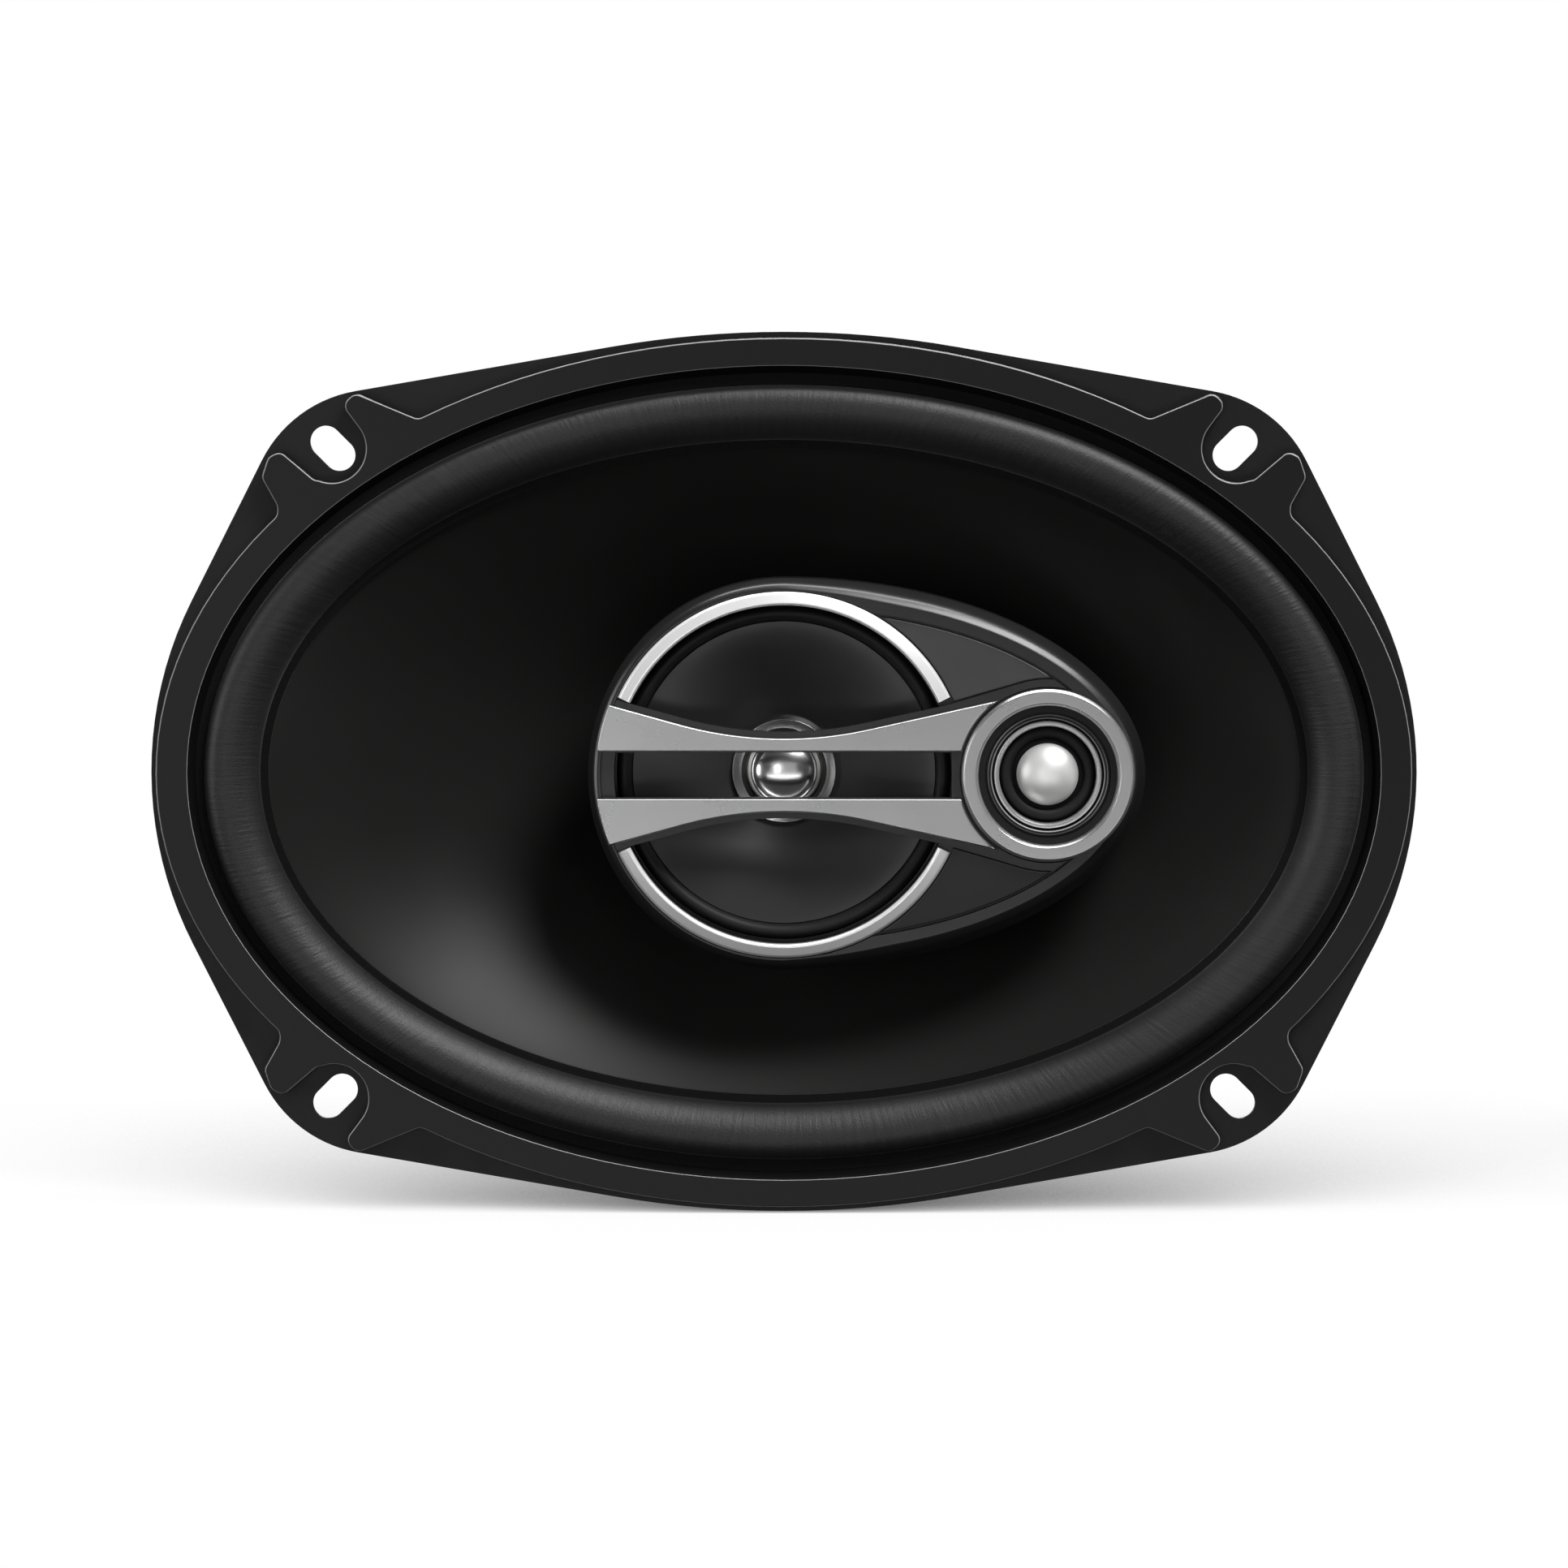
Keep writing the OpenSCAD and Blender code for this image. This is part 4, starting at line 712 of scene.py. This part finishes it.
def midrange_rings():
    """The silver ring round the midrange, in two arcs between the bars. Its face falls outwards."""
    inner_r, start, fall, corner = 31.4, 25.2, 0.6, 0.4
    profile = rounded([(inner_r, RECESS), (MID_RING_R, RECESS), (MID_RING_R, RING_TOP - fall - corner),
                       (MID_RING_R - corner, RING_TOP - fall), (inner_r + corner, RING_TOP),
                       (inner_r, RING_TOP - corner)],
                      [0, 0, 0.3, 0.5, 0.6, 0.3])
    for node, turn in (("ring_trim_upper", False), ("ring_trim_lower", True)):
        bm = lathe(profile, start=start, sweep=180 - 2 * start, steps=360)
        piece(node + "_form", mirrored(bm) if turn else bm, "bright_trim", "chassis", node)


# ---------- midrange ----------

MID_CREASE_R, MID_NECK_R = 28.1, 9.6
MID_RIM, MID_NECK = -1.0, -7.0


def midrange_cone(wall=0.5, curve=1.25, steps=24):
    reach, depth = MID_CREASE_R - MID_NECK_R, MID_RIM - MID_NECK
    shares = [k / steps for k in range(steps + 1)]
    face = [(MID_NECK_R + reach * s, MID_NECK + depth * (1 - (1 - s) ** curve)) for s in shares]
    profile = face + [(r, front - wall) for r, front in reversed(face)]
    piece("midrange_cone_form", lathe(profile), "mid_cone", "midrange", "midrange_cone")


def midrange_neck_ring():
    """Bright ring whose face leans in towards the dome."""
    inner_r, back, edge = 7.9, -7.8, -5.95
    profile = rounded([(inner_r, back), (MID_NECK_R, back), (MID_NECK_R, edge), (inner_r + 0.1, -6.73),
                       (inner_r, -6.9)], [0, 0, 0.04, 0.1, 0.1])
    piece("midrange_neck_ring_form", lathe(profile), "chrome_plate", "midrange", "midrange_neck_ring")


def phase_plug():
    """Polished dome on the midrange's pole."""
    plug_r, base, dome_foot, rise = 6.2, -9.6, -6.4, 3.2
    profile = [(0.0, base), (plug_r, base)] + arc((0, dome_foot), (plug_r, rise), 0, math.pi / 2, 24)
    piece("phase_plug_form", lathe(profile), "chrome_plate", "chassis", "phase_plug")


def midrange_surround():
    """Small roll round the midrange's cone."""
    inner, outer, arch, cloth, steps = MID_CREASE_R + 0.15, 31.1, 1.5, 0.4, 16
    half, centre = (outer - inner) / 2, ((inner + outer) / 2, MID_RIM + GAP)
    profile = arc(centre, (half, arch), math.pi, 0, steps)
    profile += arc(centre, (half - cloth, arch - cloth), 0, math.pi, steps)
    obj = piece("midrange_surround_form", lathe(profile), "mid_surround", None, "midrange_surround")
    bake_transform(obj)
    weigh(obj, lambda x, up: (outer - np.hypot(x, up)) / (outer - inner))


# ---------- tweeter ----------

def tweeter_piece(node, profile, slot, body="chassis"):
    return piece(node + "_form", lathe(profile, (TWEETER_X, 0)), slot, body, node)


def tweeter_dome(base_r=6.2, rise=3.0, base=4.0, skin=0.3, steps=24):
    """A cap of a ball."""
    ball = (base_r ** 2 + rise ** 2) / (2 * rise)
    centre, inside = (0, base + rise - ball), ball - skin
    top, rim = math.pi / 2, math.pi / 2 - math.asin(base_r / ball)
    profile = arc(centre, (ball, ball), top, rim, steps) + arc(centre, (inside, inside), rim, top, steps)
    tweeter_piece("tweeter_dome", profile, "dome_metal", "tweeter")


def tweeter_surround():
    """Small roll round the dome. Its inner foot laps over the dome's edge, and its outer foot is flat."""
    mid_r, half, foot, arch, cloth, steps = 7.75, 1.15, 3.4, 0.7, 0.3, 14
    outer_r, inner_r = mid_r + half, mid_r - half
    profile = [(5.75, 4.6), (6.25, 4.12)]
    profile += arc((mid_r, foot + cloth), (half, arch), math.pi, 0, steps)
    profile += [(9.6, foot + cloth), (9.6, foot)]
    profile += arc((mid_r, foot), (half - cloth, arch), 0, math.pi, steps)
    profile += [(6.2, 3.95), (5.75, 4.45)]
    obj = tweeter_piece("tweeter_surround", profile, "mid_surround", None)
    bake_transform(obj)
    weigh(obj, lambda x, up: (outer_r - np.hypot(x - TWEETER_X, up)) / (outer_r - inner_r))


def tweeter_faceplate():
    """Stepped black ring with a bead round its mouth and a lip over the bezel's ledge."""
    inner_r, body_r, lip_r, back, lip_back, lip_top = 9, 11.85, 12.85, 3.8, 7.25, 7.55
    bead = arc((10.8, 6.5), (0.5, 0.5), 0, math.pi, 10)
    steps_down = [(10.15, 6.0), (9.9, 6.0), (9.6, 5.4), (inner_r, 4.6)]
    rim = [(body_r, lip_back), (lip_r, lip_back), (lip_r, lip_top), (11.65, lip_top), (11.5, 6.5)]
    profile = [(inner_r, back), (body_r, back)] + rim + bead + steps_down
    # ring_plastic gives the bead and the faceplate's rounded edges a painted highlight.
    tweeter_piece("tweeter_faceplate", profile, "ring_plastic")


def tweeter_accent_ring():
    """Thin bright ring with a chamfered front, on a step of the faceplate."""
    inner_r, outer_r, back, step, chamfer, top = 9.0, 10.1, 5.45, 6.05, 6.3, 6.75
    profile = rounded([(inner_r, back), (9.55, back), (9.85, step), (outer_r, step), (outer_r, chamfer),
                       (9.9, top), (9.3, top), (inner_r, chamfer)], 0.06, 2)
    tweeter_piece("tweeter_accent_ring", profile, "silver_trim")


def tweeter_bezel():
    """Silver ring with a steep inner wall and a ledge that carries the faceplate."""
    inner_r, back, ledge_r, ledge, chamfer = 11.95, POD_FACE + GAP, 12.95, 7.2, 0.5
    profile = rounded([(inner_r, back), (BEZEL_R, back), (BEZEL_R, BEZEL_TOP - 0.45),
                       (BEZEL_R - chamfer, BEZEL_TOP), (13.4, BEZEL_TOP), (13.0, BEZEL_TOP - chamfer),
                       (ledge_r, ledge), (inner_r, ledge)],
                      [0, 0, 0.3, 0.35, 0.3, 0.2, 0, 0])
    tweeter_piece("tweeter_bezel", profile, "silver_trim")


# ---------- the rest of the CAD nodes ----------

# Nodes shown with small rounded edges: (node, slot, body, width of the round).
CRISP = [
    ("bridge", "pod_plastic", "chassis", 0.3), ("face_panel_upper", "panel_plastic", "chassis", 0.25),
    ("face_panel_lower", "panel_plastic", "chassis", 0.25), ("pod_back", "pod_plastic", "chassis", 0.4),
    ("magnet_boot", "boot_rubber", "chassis", 0.4), ("top_plate", "zinc_steel", "chassis", 0.3),
    ("ferrite_magnet", "ferrite", "chassis", 0.5), ("terminal_board", "board", "chassis", 0.12),
    ("positive_tab", "brass", "chassis", 0.1), ("negative_tab", "zinc_steel", "chassis", 0.1),
    ("terminal_rivets", "brass", "chassis", 0.2), ("crossover_capacitor", "capacitor_sleeve", "chassis", 0.5),
    ("basket_rivets", "zinc_steel", "chassis", 0.3), ("tweeter_cup", "pod_plastic", "chassis", 0.2),
    ("dust_cap", "cap_cloth", "woofer", 0.1), ("lead_eyelets", "brass", "woofer", 0.1),
]
# Nodes that keep their CAD mesh, with the slot whose finish they get.
DRESSED = {
    "back_plate": "zinc_steel", "centre_post": "zinc_steel", "post_nut": "zinc_steel",
    "pod_screws": "zinc_steel", "pod_lead_wires": "wire_sleeve", "midrange_frame": "pod_plastic",
    "midrange_yoke": "zinc_steel",
    "midrange_magnet": "ferrite", "midrange_pole_plate": "zinc_steel", "tweeter_yoke": "zinc_steel",
    "tweeter_magnet": "ferrite", "tweeter_pole_plate": "zinc_steel", "tweeter_capacitor": "capacitor_sleeve",
    "voice_coil_former": "former", "voice_coil_winding": "copper_wire", "midrange_voice_coil": "dark_former",
    "tweeter_voice_coil": "dark_former",
}


def other_nodes():
    for node, slot, body, width in CRISP:
        piece(node + "_form", round_edges(cad_mesh(node), width, 2), slot, body, node)
    for node, slot in DRESSED.items():
        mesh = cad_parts[node].data
        mesh.materials.clear()
        mesh.materials.append(MATERIALS[slot])


# ---------- stage ----------

FRAME_SHARE = 0.8078      # the flange's share of the picture's width
DROP_SHARE = 0.0067       # how far the flange's centre sits above the picture's, as a share of its width
CAMERA_ELEVATION = 3.6    # degrees
CAMERA_DISTANCE = 1.3     # metres


def camera():
    low, high = cad_box
    width = (high.x - low.x) / FRAME_SHARE
    target = Vector(((low.x + high.x) / 2, -GASKET_FRONT * MM / 2, (low.z + high.z) / 2 - width * DROP_SHARE))
    tilt = math.radians(CAMERA_ELEVATION)
    back = Vector((0, -math.cos(tilt), math.sin(tilt)))
    cam = bpy.data.objects.new("camera", bpy.data.cameras.new("camera"))
    bpy.context.scene.collection.objects.link(cam)
    cam.data.lens = cam.data.sensor_width * CAMERA_DISTANCE / width
    cam.location = target + back * CAMERA_DISTANCE
    cam.rotation_mode = "QUATERNION"
    cam.rotation_quaternion = (-back).to_track_quat("-Z", "Y")
    bpy.context.scene.camera = cam


# Each light: its direction from the speaker, its distance and its (width, height) in metres, and its watts.
LIGHTS = {
    "key": ((0.42, -0.50, 0.76), 1.3, (0.6, 0.45), 17),
    "left strip": ((-1.0, -0.45, 0.12), 1.2, (0.2, 0.8), 4.5),
    "right strip": ((1.0, -0.35, 0.12), 1.2, (0.12, 0.8), 1.0),
    "overhead": ((0.0, -0.12, 1.0), 1.2, (1.0, 0.35), 13),
    "front": ((-0.22, -1.0, 0.04), 1.05, (0.14, 0.2), 0.4),
    "wide front": ((0.0, -1.0, 0.05), 1.1, (1.0, 0.9), 0.8),
    "bounce": ((0.0, -1.0, -0.28), 0.9, (1.2, 0.12), 1.2),
    "behind": ((0.35, 1.0, 0.7), 1.8, (1.2, 0.9), 38),
    "far behind": ((-0.6, 1.0, 0.1), 1.8, (0.9, 1.2), 14),
}


def lights():
    for name, (direction, distance, size, power) in LIGHTS.items():
        light = bpy.data.lights.new(name, "AREA")
        light.shape = "RECTANGLE"
        light.size, light.size_y = size
        light.energy = power
        obj = bpy.data.objects.new(name, light)
        bpy.context.scene.collection.objects.link(obj)
        towards = Vector(direction).normalized()
        obj.location = towards * distance
        obj.rotation_mode = "QUATERNION"
        obj.rotation_quaternion = towards.to_track_quat("Z", "Y")


def white_room(seen_strength=1.0, felt_strength=0.05):
    """White to the camera and a dimmer grey to the object, as in a studio with a lit backdrop."""
    world = bpy.data.worlds.new("room")
    world.use_nodes = True
    tree = world.node_tree
    tree.nodes.clear()
    path = tree.nodes.new("ShaderNodeLightPath")
    seen, felt = tree.nodes.new("ShaderNodeBackground"), tree.nodes.new("ShaderNodeBackground")
    for node, strength in ((seen, seen_strength), (felt, felt_strength)):
        node.inputs["Strength"].default_value = strength
        node.inputs["Color"].default_value = (1, 1, 1, 1)
    mix, out = tree.nodes.new("ShaderNodeMixShader"), tree.nodes.new("ShaderNodeOutputWorld")
    tree.links.new(path.outputs["Is Camera Ray"], mix.inputs["Fac"])
    tree.links.new(felt.outputs[0], mix.inputs[1])
    tree.links.new(seen.outputs[0], mix.inputs[2])
    tree.links.new(mix.outputs[0], out.inputs["Surface"])
    bpy.context.scene.world = world
    bpy.context.scene.view_settings.view_transform = "Standard"


SHADOW_REACH = 0.2                        # metres
SKY_BLACK, SKY_WHITE = 0.12, 0.86         # shares of open sky at which the floor is black, and white
FLOOR_CLEAR, FLOOR_REACH = 0.3, 0.55      # metres from the speaker where the floor starts to fade, and ends


def floor():
    """White glowing floor with the speaker's soft contact shadow painted into the glow from ambient
    occlusion, which fades into the backdrop.
    """
    mesh = bpy.data.meshes.new("floor")
    level = cad_box[0].z
    corners = [(x * FLOOR_REACH, y * FLOOR_REACH, level) for x, y in ((-1, -1), (1, -1), (1, 1), (-1, 1))]
    mesh.from_pydata(corners, [], [range(4)])
    obj = bpy.data.objects.new("floor", mesh)
    bpy.context.scene.collection.objects.link(obj)
    obj.visible_diffuse = False
    obj.visible_glossy = False
    material = bpy.data.materials.new("floor")
    material.use_nodes = True
    n = Nodes(material)
    n.shader.inputs["Base Color"].default_value = (0, 0, 0, 1)
    n.shader.inputs["Specular IOR Level"].default_value = 0
    n.shader.inputs["Emission Color"].default_value = (1, 1, 1, 1)
    # Painted shadow: the floor's glow dims where ambient occlusion towards lit_from meets the speaker.
    open_sky = n.add("ShaderNodeAmbientOcclusion", Distance=SHADOW_REACH, samples=8)
    lit_from = n.add("ShaderNodeCombineXYZ", X=-0.1, Y=-0.76, Z=0.64)
    n.link(lit_from.outputs["Vector"], open_sky.inputs["Normal"])
    n.link(n.remap(open_sky.outputs["AO"], 0, 1, SKY_BLACK, SKY_WHITE), n.shader.inputs["Emission Strength"])
    fade = n.remap(n.length(n.coords), 0, 1, FLOOR_CLEAR, FLOOR_REACH)
    through, mix = n.add("ShaderNodeBsdfTransparent"), n.add("ShaderNodeMixShader")
    n.link(fade, mix.inputs["Fac"])
    n.link(n.shader.outputs[0], mix.inputs[1])
    n.link(through.outputs[0], mix.inputs[2])
    n.link(mix.outputs[0], n.tree.nodes["Material Output"].inputs["Surface"])
    mesh.materials.append(material)


basket()
front_gasket()
surround()
woofer_cone()
spider()
tinsel_leads()
pod_housing()
bars()
midrange_rings()
midrange_cone()
midrange_neck_ring()
phase_plug()
midrange_surround()
tweeter_dome()
tweeter_surround()
tweeter_faceplate()
tweeter_accent_ring()
tweeter_bezel()
other_nodes()
lights()
white_room()
floor()
camera()
